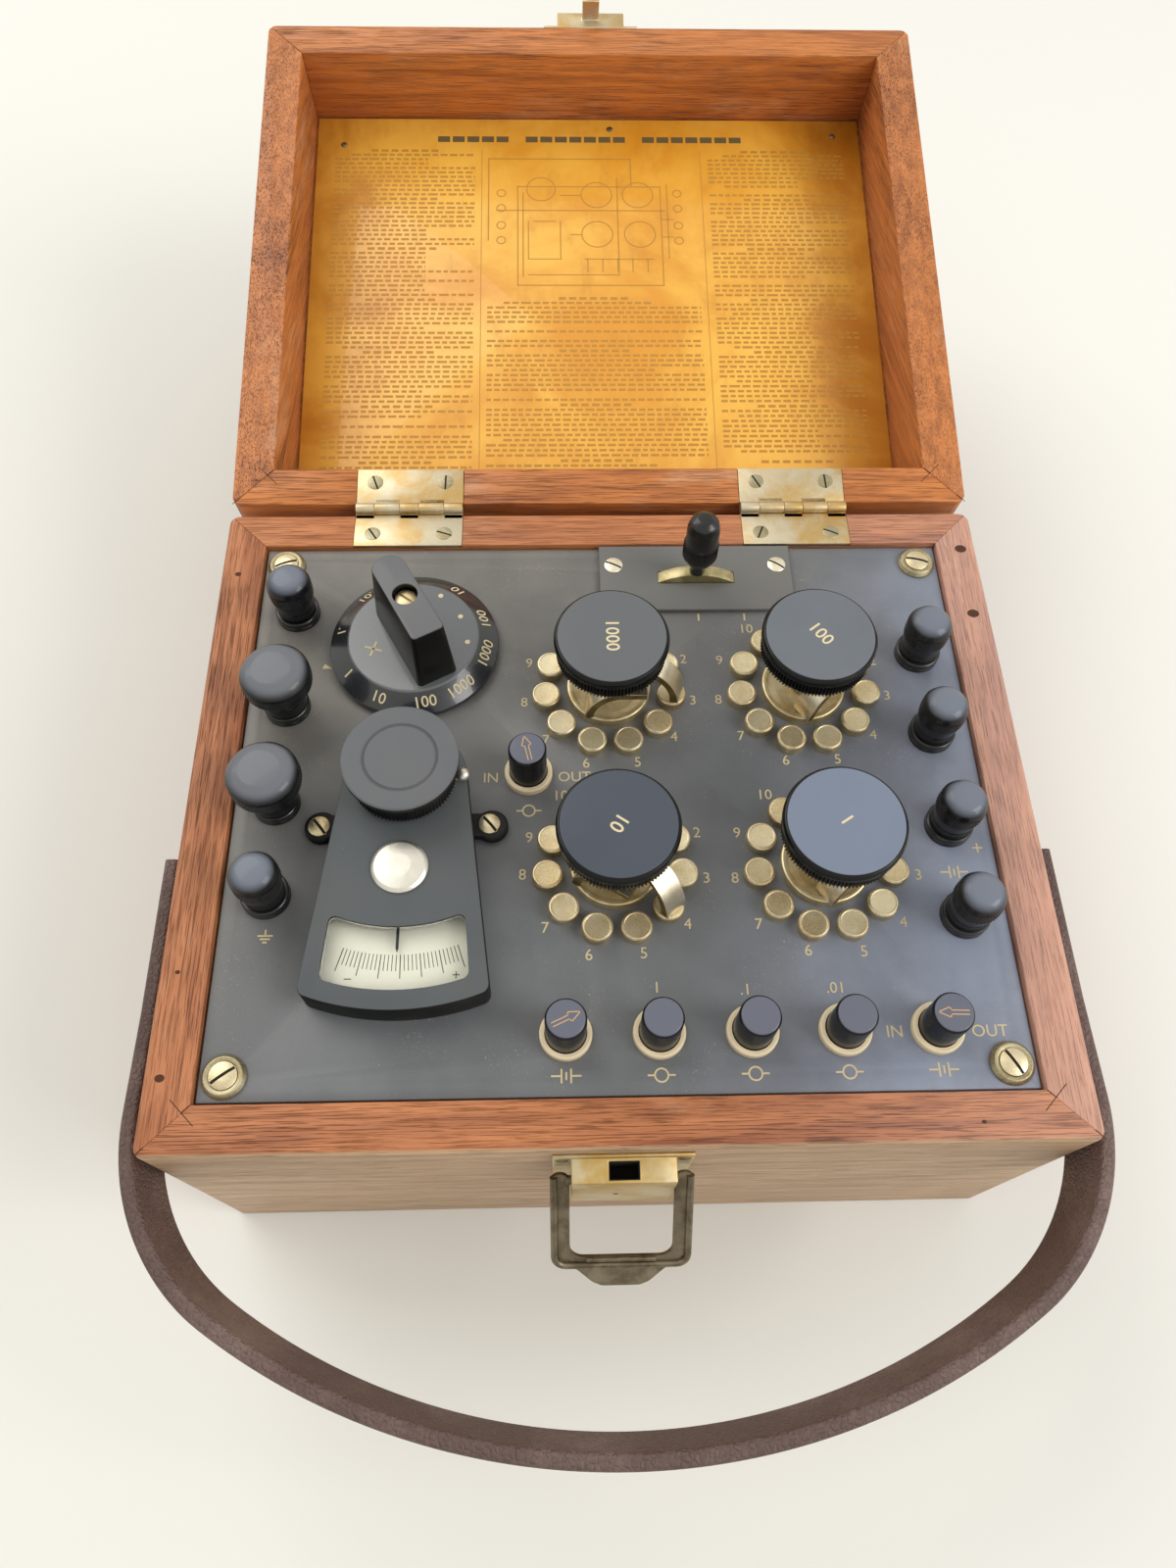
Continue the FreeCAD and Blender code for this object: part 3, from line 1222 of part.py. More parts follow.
def make_posts():
    collar = cylinder("post_collar", s.post_collar_radius, s.post_collar_height, PIECE_SIDES)
    stem = cylinder("post_stem", s.post_stem_radius, s.post_stem_top)
    stud = joined("post_stud", [collar, stem])
    foot = s.post_collar_height + s.post_seat
    small = band("small_head", s.post_head_radius, foot, s.post_head_top,
                 foot=(s.post_head_radius - s.post_foot_radius, s.post_head_low - foot),
                 top=(s.post_head_radius - s.post_head_crown, s.post_head_top - s.post_head_high))
    large = joined("large_head", [
        band("large_foot", s.wide_foot_radius, foot, s.wide_head_low),
        band("large_cap", s.wide_head_radius, s.wide_head_low, s.wide_head_top,
             top=(s.wide_head_radius - s.wide_head_crown, s.wide_head_top - s.wide_head_high))])
    heads = {kind: bored(head, s.post_stem_radius + s.running_fit, foot - s.overrun,
                         s.post_bore_top)
             for kind, head in (("small", small), ("large", large))}
    studs = []
    for name, (x, y, kind) in post_places.items():
        studs.append(copy_of(stud, x, y, panel_top))
        group(name, [copy_of(heads[kind], x, y, panel_top)])
    group("post_studs", studs)


def make_battery():
    cell = cylinder("cell", s.cell_radius, s.cell_height, PIECE_SIDES)
    row = inner_half_depth - s.block_side - s.cell_gap - s.cell_radius
    cells = [copy_of(cell, s.cell_pitch * step, row, s.bottom_thick)
             for step in (-1.5, -0.5, 0.5, 1.5)]
    group("battery_cells", cells)


make_case()
make_panel()
make_panel_fixings()
make_lid()
make_hinges()
make_latch()
make_strap()
make_contacts()
make_switches()
make_ratio_dial()
make_selector()
make_galvanometer()
make_keys()
make_posts()
make_battery()
doc.recompute()

for thing in doc.Objects:
    if "Invalid" in thing.State or "Error" in thing.State:
        raise RuntimeError(f"{thing.Label} failed: {thing.State}")
for label, node in nodes.items():
    if node.Shape.isNull() or not node.Shape.isValid() or not node.Shape.Solids:
        raise RuntimeError(f"{label} has no valid solid")

os.makedirs("parts", exist_ok=True)
for label, node in nodes.items():
    node.Shape.exportStep(f"parts/{label}.step")
print(len(nodes), "nodes,", sum(len(node.Shape.Solids) for node in nodes.values()), "solids")
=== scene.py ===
import math

import bmesh
import bpy
from mathutils import Matrix, Vector, noise


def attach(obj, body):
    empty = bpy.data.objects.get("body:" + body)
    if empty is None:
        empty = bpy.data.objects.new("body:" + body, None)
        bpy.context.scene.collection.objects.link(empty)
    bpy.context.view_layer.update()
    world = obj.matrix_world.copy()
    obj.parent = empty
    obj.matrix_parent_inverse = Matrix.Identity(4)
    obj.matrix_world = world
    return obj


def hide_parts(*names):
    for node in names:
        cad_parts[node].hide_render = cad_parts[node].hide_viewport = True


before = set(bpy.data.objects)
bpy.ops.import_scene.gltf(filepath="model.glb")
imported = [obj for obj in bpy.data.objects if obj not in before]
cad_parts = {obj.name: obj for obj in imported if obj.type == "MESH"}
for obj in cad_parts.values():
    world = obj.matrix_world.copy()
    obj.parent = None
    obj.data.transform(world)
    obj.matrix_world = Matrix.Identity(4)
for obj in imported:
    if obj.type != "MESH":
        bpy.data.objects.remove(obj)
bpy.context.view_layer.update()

# Places and heights in millimetres; the frame itself is in metres
# RIM and PANEL are heights above the table, FRONT is the case's front face, PIN the hinge pins' place
# A dial has its place, the stud it rests on, its numeral and the numeral's turn in degrees

MM = 0.001
RIM = 100
PANEL = 98.5
PANEL_THICKNESS = 6.35
MARK_LIFT = 0.03
MARK_DEPTH = 0.04
FRONT = -98
LID_TURN = -168.7
PIN = (0, 100, 100.2)
LID_RIM = 100.4
DIALS = {
    "thousands": (0, 32.4, 3, "1000", -90),
    "hundreds": (57, 32.4, 2, "100", -53),
    "tens": (0, -24, 4, "10", -125),
    "units": (57, -24, 2, "1", -57),
}
CONTACTS = 11
CONTACT_CIRCLE = 18.4
RATIO = (-57, 47.8)
GRIP_TURN = 28.1
PIVOT = (-56.5, -1)
LEVER = (28.3, 72.7)
KEYS = {
    "battery_key": (-13.8, -69.5),
    "key_1": (9.8, -69.5),
    "key_tenth": (33.4, -69.5),
    "key_hundredth": (57, -69.5),
    "battery_switch": (80.6, -69.5),
    "galvanometer_switch": (-23.3, 5.1),
}
POSTS = {
    "post_left_1": (-92.8, 60.6),
    "post_left_2": (-92.8, 27.7),
    "post_left_3": (-92.8, -3.6),
    "post_left_4": (-92.8, -31),
    "post_right_1": (92.8, 44.4),
    "post_right_2": (92.8, 16.9),
    "post_right_3": (92.8, -12.6),
    "post_right_4": (92.8, -39.2),
}
WIDE_POSTS = ("post_left_2", "post_left_3")
HINGES = (-61.2, 61.2)
PANEL_SCREWS = (98.1, 78.6)
INNER_CORNER = (105.1, 85.6)
DIAGONAL = 0.707


# Finishes: procedural node materials

def tone(red, green, blue):
    """A colour from its three screen values of 0 to 255."""
    channels = [((value / 255 + 0.055) / 1.055) ** 2.4 for value in (red, green, blue)]
    return (*channels, 1.0)


def feed(tree, socket, value):
    """Give an input its value, or link it to another node's output."""
    source = value.socket if isinstance(value, Wire) else value
    if isinstance(source, bpy.types.NodeSocket):
        tree.links.new(source, socket)
    else:
        socket.default_value = source


def add_node(tree, kind, inputs=(), **settings):
    made = tree.nodes.new(kind)
    for name, value in settings.items():
        setattr(made, name, value)
    for name, value in dict(inputs).items():
        feed(tree, made.inputs[name], value)
    return made


def arithmetic(kind, reflected=False):
    def operation(wire, other):
        pair = (other, wire) if reflected else (wire, other)
        return wire.finish.math(kind, *pair)
    return operation


class Wire:
    """A number in a finish; arithmetic on it adds nodes."""

    def __init__(self, finish, socket):
        self.finish = finish
        self.socket = socket

    __add__ = arithmetic("ADD")
    __radd__ = arithmetic("ADD", True)
    __sub__ = arithmetic("SUBTRACT")
    __mul__ = arithmetic("MULTIPLY")


class Finish:
    """A surface finish: base settings first, then whatever varies over it."""

    def __init__(self, name, colour, rough, metal=0.0, coat=0.0):
        self.material = bpy.data.materials.new(name)
        self.material.use_nodes = True
        self.tree = self.material.node_tree
        self.shader = self.tree.nodes["Principled BSDF"]
        self.set("Base Color", colour)
        self.set("Roughness", rough)
        self.set("Metallic", metal)
        self.set("Coat Weight", coat)
        self.here = self.node("ShaderNodeTexCoord", output="Object")

    def set(self, name, value):
        feed(self.tree, self.shader.inputs[name], value)

    def node(self, kind, inputs=(), output=0, **settings):
        return Wire(self, add_node(self.tree, kind, inputs, **settings).outputs[output])

    def math(self, kind, first, second=0.0):
        return self.node("ShaderNodeMath", {0: first, 1: second}, operation=kind)

    def axis(self, letter):
        return self.node("ShaderNodeSeparateXYZ", {0: self.here}, letter)

    def stretched(self, by, turn=(0, 0, 0)):
        """The place on the object, turned, then scaled along each axis (per metre)."""
        place = self.node("ShaderNodeVectorRotate", {"Vector": self.here, "Rotation": turn},
                          rotation_type="EULER_XYZ")
        return self.node("ShaderNodeVectorMath", {0: place, 1: by}, operation="MULTIPLY")

    def cloud(self, vector, scale=1.0, detail=2.0, rough=0.5, warp=0.0):
        return self.node("ShaderNodeTexNoise", {"Vector": vector, "Scale": scale, "Detail": detail,
                                                "Roughness": rough, "Distortion": warp})

    def ramp(self, value, low, high):
        """0 below the low value, 1 above the high one, smooth between."""
        return self.node("ShaderNodeMapRange", {"Value": value, "From Min": low, "From Max": high},
                         interpolation_type="SMOOTHSTEP")

    def mix(self, share, first, second):
        return self.node("ShaderNodeMix", {0: share, 6: first, 7: second}, 2, data_type="RGBA")

    def bump(self, height, depth):
        self.set("Normal", self.node("ShaderNodeBump", {"Height": height, "Distance": depth}))


LID_SLANT = (math.radians(LID_TURN), 0, 0)


def wood(name, along, light, dark, rough, turn=(0, 0, 0), face=None, figured=0.2, right_light=0.0):
    """Open-pored wood, grain along X or Y; face greys the case's front, and its rim on the right is paled
    with painted light where the lamp falls.
    """
    finish = Finish(name, light, rough)
    long_way = [1.0, 0.0, 0.0] if along == "X" else [0.0, 1.0, 0.0]

    def grain(length, breadth):
        return finish.stretched([length if way else breadth for way in long_way], turn)

    figure = finish.cloud(grain(6.0, 40.0), detail=3.0, rough=0.55, warp=0.5)
    bands = finish.ramp(finish.math("SINE", figure * 40.0), -0.6, 0.9)
    streaks = finish.cloud(grain(14.0, 420.0), detail=5.0, rough=0.7)
    pores = finish.cloud(grain(70.0, 2600.0), detail=2.0, rough=0.6)
    stains = finish.cloud(grain(11.0, 30.0), detail=5.0, rough=0.62, warp=0.8)
    wear = finish.cloud(grain(16.0, 60.0), detail=5.0, rough=0.7)
    deep = finish.ramp(pores, 0.52, 0.68)
    share = (bands * figured + finish.ramp(streaks, 0.36, 0.66) * 0.5
             + finish.ramp(stains, 0.46, 0.72) * 0.4)
    colour = finish.mix(share, light, dark)
    colour = finish.mix(finish.ramp(wear, 0.54, 0.72) * 0.45, colour, tone(206, 160, 122))
    colour = finish.mix(deep * finish.ramp(stains, 0.3, 0.7) * 0.8, colour, tone(66, 34, 18))
    # Painted light: the rim at the right is paled towards a pinkish grey where the lamp light falls.
    if right_light:
        right = finish.ramp(finish.axis("X"), 0.0, 0.115) * finish.ramp(finish.axis("Z"), 0.09, 0.1)
        colour = finish.mix(right * right_light, colour, tone(222, 184, 172))
    if face:
        on_face = finish.ramp(finish.axis("Y"), -0.0968, -0.0976)
        scuffs = finish.ramp(streaks, 0.35, 0.7)
        grey = finish.mix(scuffs * 0.5 + bands * 0.12, face, tone(140, 112, 86))
        colour = finish.mix(on_face * 0.94, colour, grey)
    finish.set("Base Color", colour)
    finish.set("Roughness", rough + deep * 0.25)
    finish.bump(streaks * 0.5 - deep, 0.00018)
    return finish.material


def rubber(name, side, rough, dust, coat=0.0, top=None, sheen_levels=(0, 1), shine=0.2):
    """Hard rubber with haze and dust, and a painted sheen on its top.

    Its top's lighter tone is painted light, the sheen of the bright room on faces that look up; it sets in
    between two levels, in millimetres above the panel.
    """
    finish = Finish(name, side, rough, coat=coat)
    finish.set("Specular IOR Level", shine)
    haze = finish.cloud(finish.here, 38.0, 4.0, 0.6)
    specks = finish.ramp(finish.cloud(finish.here, 2100.0, 2.0, 0.7), 0.66, 0.78)
    patches = finish.ramp(finish.cloud(finish.here, 60.0, 3.0, 0.65), 0.45, 0.7)
    skin = side
    if top:
        # Painted light: the top is given a lighter tone than the sides, for the sheen on faces that look
        # up.
        height = finish.ramp(finish.axis("Z"), (PANEL + sheen_levels[0]) * MM, (PANEL + sheen_levels[1]) * MM)
        skin = finish.mix(height * (0.86 + haze * 0.28), side, top)
    grey = finish.mix(finish.ramp(haze, 0.35, 0.75) * dust, skin, tone(112, 108, 100))
    finish.set("Base Color", finish.mix(specks * patches * (dust * 2.0), grey, tone(178, 168, 146)))
    finish.set("Roughness", rough + haze * 0.16)
    finish.bump(haze * 0.4 + specks * 0.3, 0.00006)
    return finish.material


def aged_panel(name):
    """The panel: browner towards its back left, with dust, and lighter and bluer at its front right, a
    painted sheen of the window light.
    """
    finish = Finish(name, tone(92, 92, 92), 0.34)
    drift = finish.axis("X") * 2.6 - finish.axis("Y") * 3.4
    haze = finish.cloud(finish.here, 26.0, 5.0, 0.6)
    specks = finish.ramp(finish.cloud(finish.here, 1700.0, 2.0, 0.7), 0.62, 0.74)
    patches = finish.ramp(finish.cloud(finish.here, 48.0, 4.0, 0.65), 0.44, 0.66)
    skin = finish.mix(finish.ramp(drift, -0.5, 0.1), tone(122, 117, 107), tone(103, 105, 107))
    # Painted light: the front right is lightened towards a pale blue, the sheen of the window light there.
    right = finish.axis("X") * 4.0 - finish.axis("Y") * 1.2
    skin = finish.mix(finish.ramp(right, 0.12, 0.42), skin, tone(132, 139, 156))
    skin = finish.mix(finish.ramp(haze, 0.35, 0.7) * 0.5, skin, tone(78, 79, 82))
    finish.set("Base Color", finish.mix(specks * patches * 0.8, skin, tone(168, 160, 142)))
    finish.set("Roughness", 0.3 + haze * 0.24)
    finish.bump(haze * 0.5 + specks * 0.4, 0.00008)
    return finish.material


def metal(name, colour, worn, rough, brushed=(300.0, 900.0, 300.0), patch=150.0, scratch=0.0,
          metallic=1.0):
    """Metal that has worn or tarnished to a second colour in patches."""
    finish = Finish(name, colour, rough, metallic)
    patches = finish.cloud(finish.here, patch, 4.0, 0.62, 0.4)
    lines = finish.cloud(finish.stretched(brushed, (0, 0, 0.6)), 4.0, 3.0, 0.6)
    tint = finish.mix(finish.ramp(patches, 0.34, 0.68), colour, worn)
    finish.set("Base Color", finish.mix(finish.ramp(lines, 0.48, 0.64) * scratch, tint,
                                        tone(240, 232, 210)))
    finish.set("Roughness", rough + lines * 0.22)
    finish.bump(lines + patches * 0.6, 0.00004)
    return finish.material


def plain(name, colour, rough):
    """One colour with a fine unevenness."""
    finish = Finish(name, colour, rough)
    cloud = finish.cloud(finish.here, 900.0, 3.0, 0.6)
    finish.set("Roughness", rough + cloud * 0.12)
    finish.bump(cloud, 0.00003)
    return finish.material


def leather(name):
    finish = Finish(name, tone(96, 76, 70), 0.56)
    hide = finish.cloud(finish.here, 900.0, 5.0, 0.7)
    cells = finish.node("ShaderNodeTexVoronoi", {"Vector": finish.here, "Scale": 620.0},
                        feature="DISTANCE_TO_EDGE")
    wear = finish.ramp(finish.cloud(finish.here, 26.0, 4.0, 0.65), 0.42, 0.72)
    colour = finish.mix(wear * 0.7, tone(92, 70, 64), tone(134, 112, 102))
    finish.set("Base Color", finish.mix(finish.ramp(hide, 0.4, 0.7) * 0.5, colour, tone(66, 48, 44)))
    finish.bump(hide * 0.6 + finish.ramp(cells, 0.0, 0.25), 0.0002)
    return finish.material


def varnished_card(name):
    """Yellowed card under old varnish, darker at its edges."""
    finish = Finish(name, tone(228, 168, 70), 0.34, coat=0.35)
    blots = finish.cloud(finish.here, 17.0, 5.0, 0.62, 0.5)
    fibres = finish.cloud(finish.stretched((160.0, 60.0, 60.0)), 1.0, 4.0, 0.6)
    across = finish.math("ABSOLUTE", finish.axis("X"))
    edge = finish.ramp(across + finish.ramp(blots, 0.3, 0.8) * 0.03, 0.078, 0.122)
    colour = finish.mix(finish.ramp(blots, 0.36, 0.7), tone(240, 184, 70), tone(218, 146, 30))
    colour = finish.mix(finish.ramp(fibres, 0.5, 0.8) * 0.35, colour, tone(186, 122, 30))
    finish.set("Base Color", finish.mix(edge * 0.75, colour, tone(170, 98, 14)))
    finish.set("Roughness", 0.3 + blots * 0.2)
    finish.bump(blots * 0.5 + fibres * 0.2, 0.0004)
    return finish.material


def clear_glass(name):
    finish = Finish(name, tone(248, 250, 248), 0.04)
    finish.set("Transmission Weight", 1.0)
    finish.set("IOR", 1.08)
    return finish.material


WOOD_LIGHT = tone(194, 122, 72)
WOOD_DARK = tone(128, 66, 32)
FINISHES = {
    "wood_x": wood("wood_grain_across", "X", WOOD_LIGHT, WOOD_DARK, 0.5, face=tone(198, 166, 130),
                   right_light=0.2),
    "wood_y": wood("wood_grain_deep", "Y", tone(194, 126, 82), WOOD_DARK, 0.5, right_light=0.42),
    "wood_plain": wood("plain_board", "X", tone(176, 128, 84), tone(140, 96, 60), 0.7),
    "lid_x": wood("lid_grain_across", "X", tone(206, 126, 60), tone(146, 78, 30), 0.42, LID_SLANT,
                  figured=0.25),
    "lid_y": wood("lid_grain_deep", "Y", tone(202, 124, 64), tone(140, 78, 34), 0.46, LID_SLANT),
    "seam": plain("dark_seam", tone(74, 40, 22), 0.8),
    # Dark finish for painted shade in slots and holes.
    "dark": plain("painted_hole_shade", tone(34, 28, 20), 0.8),
    "panel": aged_panel("aged_panel"),
    "plate": rubber("selector_plate", tone(112, 111, 108), 0.36, 0.3),
    # The lighter top tones given to these rubbers are painted light, the sheen on faces that look up.
    "dial": rubber("bevelled_dial", tone(34, 36, 40), 0.18, 0.06, 0.5, tone(98, 101, 103), (6.0, 6.4),
                   0.5),
    "grip": rubber("black_grip", tone(7, 7, 8), 0.24, 0.04, 0.05, tone(106, 107, 108), (26.4, 26.95)),
    "cap": rubber("key_cap", tone(9, 9, 12), 0.2, 0.03, 0.1, tone(100, 103, 115), (14.7, 14.95)),
    "post": rubber("post_head", tone(14, 15, 19), 0.22, 0.1, 0.15, tone(112, 118, 130), (16.4, 18.6)),
    "wide_post": rubber("wide_post_head", tone(14, 15, 19), 0.22, 0.1, 0.15, tone(106, 109, 115),
                        (18.5, 20.8)),
    "black": rubber("black_rubber", tone(14, 14, 16), 0.24, 0.08, 0.25, shine=0.4),
    "housing": rubber("cast_housing", tone(12, 13, 14), 0.46, 0.15, 0.0, tone(86, 90, 92), (9.6, 9.9)),
    "adjuster": rubber("adjuster_knob", tone(14, 14, 15), 0.44, 0.25, 0.0, tone(100, 102, 105),
                       (21.2, 21.8)),
    "brass": metal("contact_brass", tone(222, 208, 172), tone(196, 172, 126), 0.3, (500.0, 1500.0, 500.0),
                   70.0, 0.5),
    "dull": metal("dull_brass", tone(176, 168, 138), tone(150, 134, 98), 0.34, patch=90.0, scratch=0.2),
    "gold": metal("bowl_brass", tone(208, 194, 158), tone(182, 160, 112), 0.28, metallic=0.7),
    "blade": metal("sector_brass", tone(196, 182, 142), tone(150, 138, 94), 0.3, metallic=0.8),
    "bright": metal("brush_metal", tone(244, 236, 214), tone(226, 212, 182), 0.22),
    "tarnish": metal("tarnished_leaves", tone(150, 136, 98), tone(112, 100, 70), 0.4),
    "pale": plain("pale_collar", tone(226, 208, 172), 0.42),
    "nickel": metal("worn_nickel", tone(206, 195, 170), tone(198, 164, 104), 0.34, patch=75.0, scratch=0.1),
    "lock": metal("lock_nickel", tone(204, 188, 152), tone(188, 156, 92), 0.36, patch=90.0),
    "steel": metal("bail_steel", tone(142, 132, 112), tone(104, 92, 74), 0.36),
    "satin": metal("satin_disc", tone(226, 222, 212), tone(214, 208, 196), 0.3),
    "leather": leather("strap_leather"),
    "card": varnished_card("varnished_card"),
    "ink": plain("brown_ink", tone(184, 130, 44), 0.5),
    "title": plain("dark_ink", tone(98, 84, 52), 0.5),
    "cream": plain("cream_fill", tone(216, 200, 160), 0.6),
    "arrow": plain("arrow_fill", tone(206, 164, 116), 0.6),
    "fill": plain("faded_fill", tone(198, 180, 138), 0.6),
    "enamel": plain("scale_white", tone(246, 241, 226), 0.5),
    "line": plain("scale_line", tone(84, 76, 62), 0.5),
    "needle": plain("needle_black", tone(20, 20, 20), 0.4),
    "glass": clear_glass("window_glass"),
    "winding": metal("spool_wire", tone(160, 92, 50), tone(130, 70, 36), 0.4, (100.0, 100.0, 4000.0)),
    "jacket": plain("cell_jacket", tone(150, 60, 48), 0.6),
    "magnet": metal("magnet_steel", tone(120, 122, 126), tone(86, 84, 82), 0.4),
}


# Shapes in millimetres

def rounded(corners, closed=True, steps=5):
    """Outline points; a corner's third number is its radius."""
    points = []
    for number, corner in enumerate(corners):
        here = Vector(corner[:2])
        if len(corner) < 3 or (not closed and number in (0, len(corners) - 1)):
            points.append(here)
            continue
        before = Vector(corners[number - 1][:2]) - here
        after = Vector(corners[(number + 1) % len(corners)][:2]) - here
        half = before.angle(after) / 2
        reach = min(corner[2] / math.tan(half), before.length * 0.49, after.length * 0.49)
        arm = reach * math.tan(half)
        centre = here + (before.normalized() + after.normalized()).normalized() * arm / math.sin(half)
        start = here + before.normalized() * reach - centre
        end = here + after.normalized() * reach - centre
        sweep = math.atan2(start.x * end.y - start.y * end.x, start.dot(end))
        for step in range(steps + 1):
            spoke = start.copy()
            spoke.rotate(Matrix.Rotation(sweep * step / steps, 2))
            points.append(centre + spoke)
    return points


def arc(radius, first, last, steps, x=0, y=0):
    """Points anticlockwise from one angle in degrees to another."""
    turns = [math.radians(first + (last - first) * step / steps) for step in range(steps + 1)]
    return [(x + radius * math.cos(turn), y + radius * math.sin(turn)) for turn in turns]


def turned(profile, sides=48, ring=False):
    """A profile of radius, height and corner radius, turned about the upright axis."""
    shape = bmesh.new()
    loops = []
    for radius, height in rounded(profile, ring, 4):
        if radius < 1e-4:
            loops.append([shape.verts.new((0, 0, height))])
            continue
        loops.append([shape.verts.new((radius * math.cos(math.tau * side / sides),
                                       radius * math.sin(math.tau * side / sides), height))
                      for side in range(sides)])
    pairs = list(zip(loops, loops[1:])) + ([(loops[-1], loops[0])] if ring else [])
    for low, high in pairs:
        for side in range(sides if len(low) + len(high) > 2 else 0):
            after = (side + 1) % sides
            corners = [low[side % len(low)], low[after % len(low)],
                       high[after % len(high)], high[side % len(high)]]
            shape.faces.new(list(dict.fromkeys(corners)))
    if not ring:
        for loop, backwards in ((loops[0], True), (loops[-1], False)):
            if len(loop) > 1:
                shape.faces.new(reversed(loop) if backwards else loop)
    bmesh.ops.recalc_face_normals(shape, faces=shape.faces)
    return shape


def rod(radius, low, high, sides):
    return turned([(0, low), (radius, low), (radius, high), (0, high)], sides)


def flat_ring(bore, radius, height, sides):
    return turned([(bore, 0), (radius, 0), (radius, height), (bore, height)], sides, True)


def soften(shape, width):
    """Round the edges of a shape that turn by more than 30 degrees."""
    edges = [edge for edge in shape.edges
             if len(edge.link_faces) == 2 and edge.calc_face_angle() > math.radians(30)]
    bmesh.ops.bevel(shape, geom=edges, offset=width, segments=2, profile=0.5,
                    affect="EDGES", clamp_overlap=True)
    return shape


def slab(corners, low, high, edge=0.0, top=None):
    """An outline made solid between two heights; top is another outline for its upper face."""
    shape = bmesh.new()
    lower = [shape.verts.new((point[0], point[1], low)) for point in corners]
    upper = [shape.verts.new((point[0], point[1], high)) for point in top or corners]
    shape.faces.new(list(reversed(lower)))
    shape.faces.new(upper)
    for number in range(len(lower)):
        after = (number + 1) % len(lower)
        shape.faces.new((lower[number], lower[after], upper[after], upper[number]))
    bmesh.ops.recalc_face_normals(shape, faces=shape.faces)
    return soften(shape, edge) if edge else shape


def block(x_size, y_size, low, high, edge=0.3):
    """A box on the upright axis."""
    x, y = x_size / 2, y_size / 2
    return slab([(-x, -y), (x, -y), (x, y), (-x, y)], low, high, edge)


def swept(section, path):
    """A closed section carried along a path of (origin, sideways, upwards) frames, with flat ends."""
    shape = bmesh.new()
    loops = [[shape.verts.new(origin + side * point[0] + up * point[1]) for point in section]
             for origin, side, up in path]
    for first, second in zip(loops, loops[1:]):
        for number in range(len(section)):
            after = (number + 1) % len(section)
            shape.faces.new((first[number], first[after], second[after], second[number]))
    shape.faces.new(loops[0])
    shape.faces.new(loops[-1])
    bmesh.ops.recalc_face_normals(shape, faces=shape.faces)
    return shape


def directions(line):
    """The way that a line of points runs at each of them."""
    neighbours = zip(line[:1] + line[:-1], line[1:] + line[-1:])
    return [(after - before).normalized() for before, after in neighbours]


def as_mesh(shape):
    if isinstance(shape, bpy.types.Mesh):
        return shape
    mesh = bpy.data.meshes.new("shape")
    shape.to_mesh(mesh)
    return mesh


def evaluated(worker):
    """The mesh that an object's modifiers make of it; the object goes."""
    bpy.context.scene.collection.objects.link(worker)
    bpy.context.view_layer.update()
    graph = bpy.context.evaluated_depsgraph_get()
    mesh = bpy.data.meshes.new_from_object(worker.evaluated_get(graph))
    bpy.data.objects.remove(worker)
    return mesh


def carved(shape, *tools):
    """A shape with other shapes cut out of it."""
    mesh = as_mesh(shape)
    for tool in tools:
        worker = bpy.data.objects.new("blank", mesh)
        cutter = bpy.data.objects.new("cutter", as_mesh(tool))
        bpy.context.scene.collection.objects.link(cutter)
        knife = worker.modifiers.new("cut", "BOOLEAN")
        knife.operation = "DIFFERENCE"
        knife.object = cutter
        mesh = evaluated(worker)
        bpy.data.objects.remove(cutter)
    return mesh


def ring_tree():
    """Geometry nodes that set copies of the incoming piece round the upright axis."""
    tree = bpy.data.node_groups.new("copies_round_an_axis", "GeometryNodeTree")
    sockets = (("Piece", "NodeSocketGeometry"), ("Count", "NodeSocketInt"),
               ("Radius", "NodeSocketFloat"), ("Start", "NodeSocketFloat"),
               ("Step", "NodeSocketFloat"), ("Finish", "NodeSocketMaterial"))
    for name, kind in sockets:
        tree.interface.new_socket(name, in_out="INPUT", socket_type=kind)
    tree.interface.new_socket("Ring", in_out="OUTPUT", socket_type="NodeSocketGeometry")

    def node(kind, **inputs):
        return add_node(tree, kind, inputs).outputs[0]

    def sums(kind, first, second=0.0):
        return add_node(tree, "ShaderNodeMath", {0: first, 1: second}, operation=kind).outputs[0]

    given = add_node(tree, "NodeGroupInput").outputs
    number = node("GeometryNodeInputIndex")
    turn = sums("ADD", given["Start"], sums("MULTIPLY", number, given["Step"]))
    place = node("ShaderNodeCombineXYZ", X=sums("MULTIPLY", sums("SINE", turn), given["Radius"]),
                 Y=sums("MULTIPLY", sums("COSINE", turn), given["Radius"]))
    spots = node("GeometryNodePoints", Count=given["Count"], Position=place)
    spin = node("ShaderNodeCombineXYZ", Z=sums("MULTIPLY", turn, -1.0))
    copies = node("GeometryNodeInstanceOnPoints", Points=spots, Instance=given["Piece"], Rotation=spin)
    solid = node("GeometryNodeRealizeInstances", Geometry=copies)
    painted = node("GeometryNodeSetMaterial", Geometry=solid, Material=given["Finish"])
    add_node(tree, "NodeGroupOutput", {0: painted})
    return tree


RING = ring_tree()


def ring_of(shape, count, radius, start=0.0, step=None):
    """Copies of a shape round the upright axis; its own +Y points outwards.

    The tree needs a finish; the piece that takes the copies sets its own.
    """
    worker = bpy.data.objects.new("copy", as_mesh(shape))
    modifier = worker.modifiers.new("ring", "NODES")
    modifier.node_group = RING
    values = {"Count": count, "Radius": float(radius), "Start": math.radians(start),
              "Step": math.radians(360 / count if step is None else step),
              "Finish": FINISHES["black"]}
    for item in RING.interface.items_tree:
        if item.in_out == "INPUT" and item.name in values:
            modifier[item.identifier] = values[item.name]
    return evaluated(worker)


def at(x=0.0, y=0.0, z=0.0, turn=0.0, axis="Z"):
    """A place in millimetres, with a turn in degrees about an axis there."""
    return Matrix.Translation((x, y, z)) @ Matrix.Rotation(math.radians(turn), 4, axis)


OPEN_LID = at(*PIN, LID_TURN, "X") @ at(*[-value for value in PIN])
UPRIGHT = Matrix()
UPSIDE_DOWN = at(turn=180, axis="X")
FACING_FRONT = at(turn=90, axis="X")


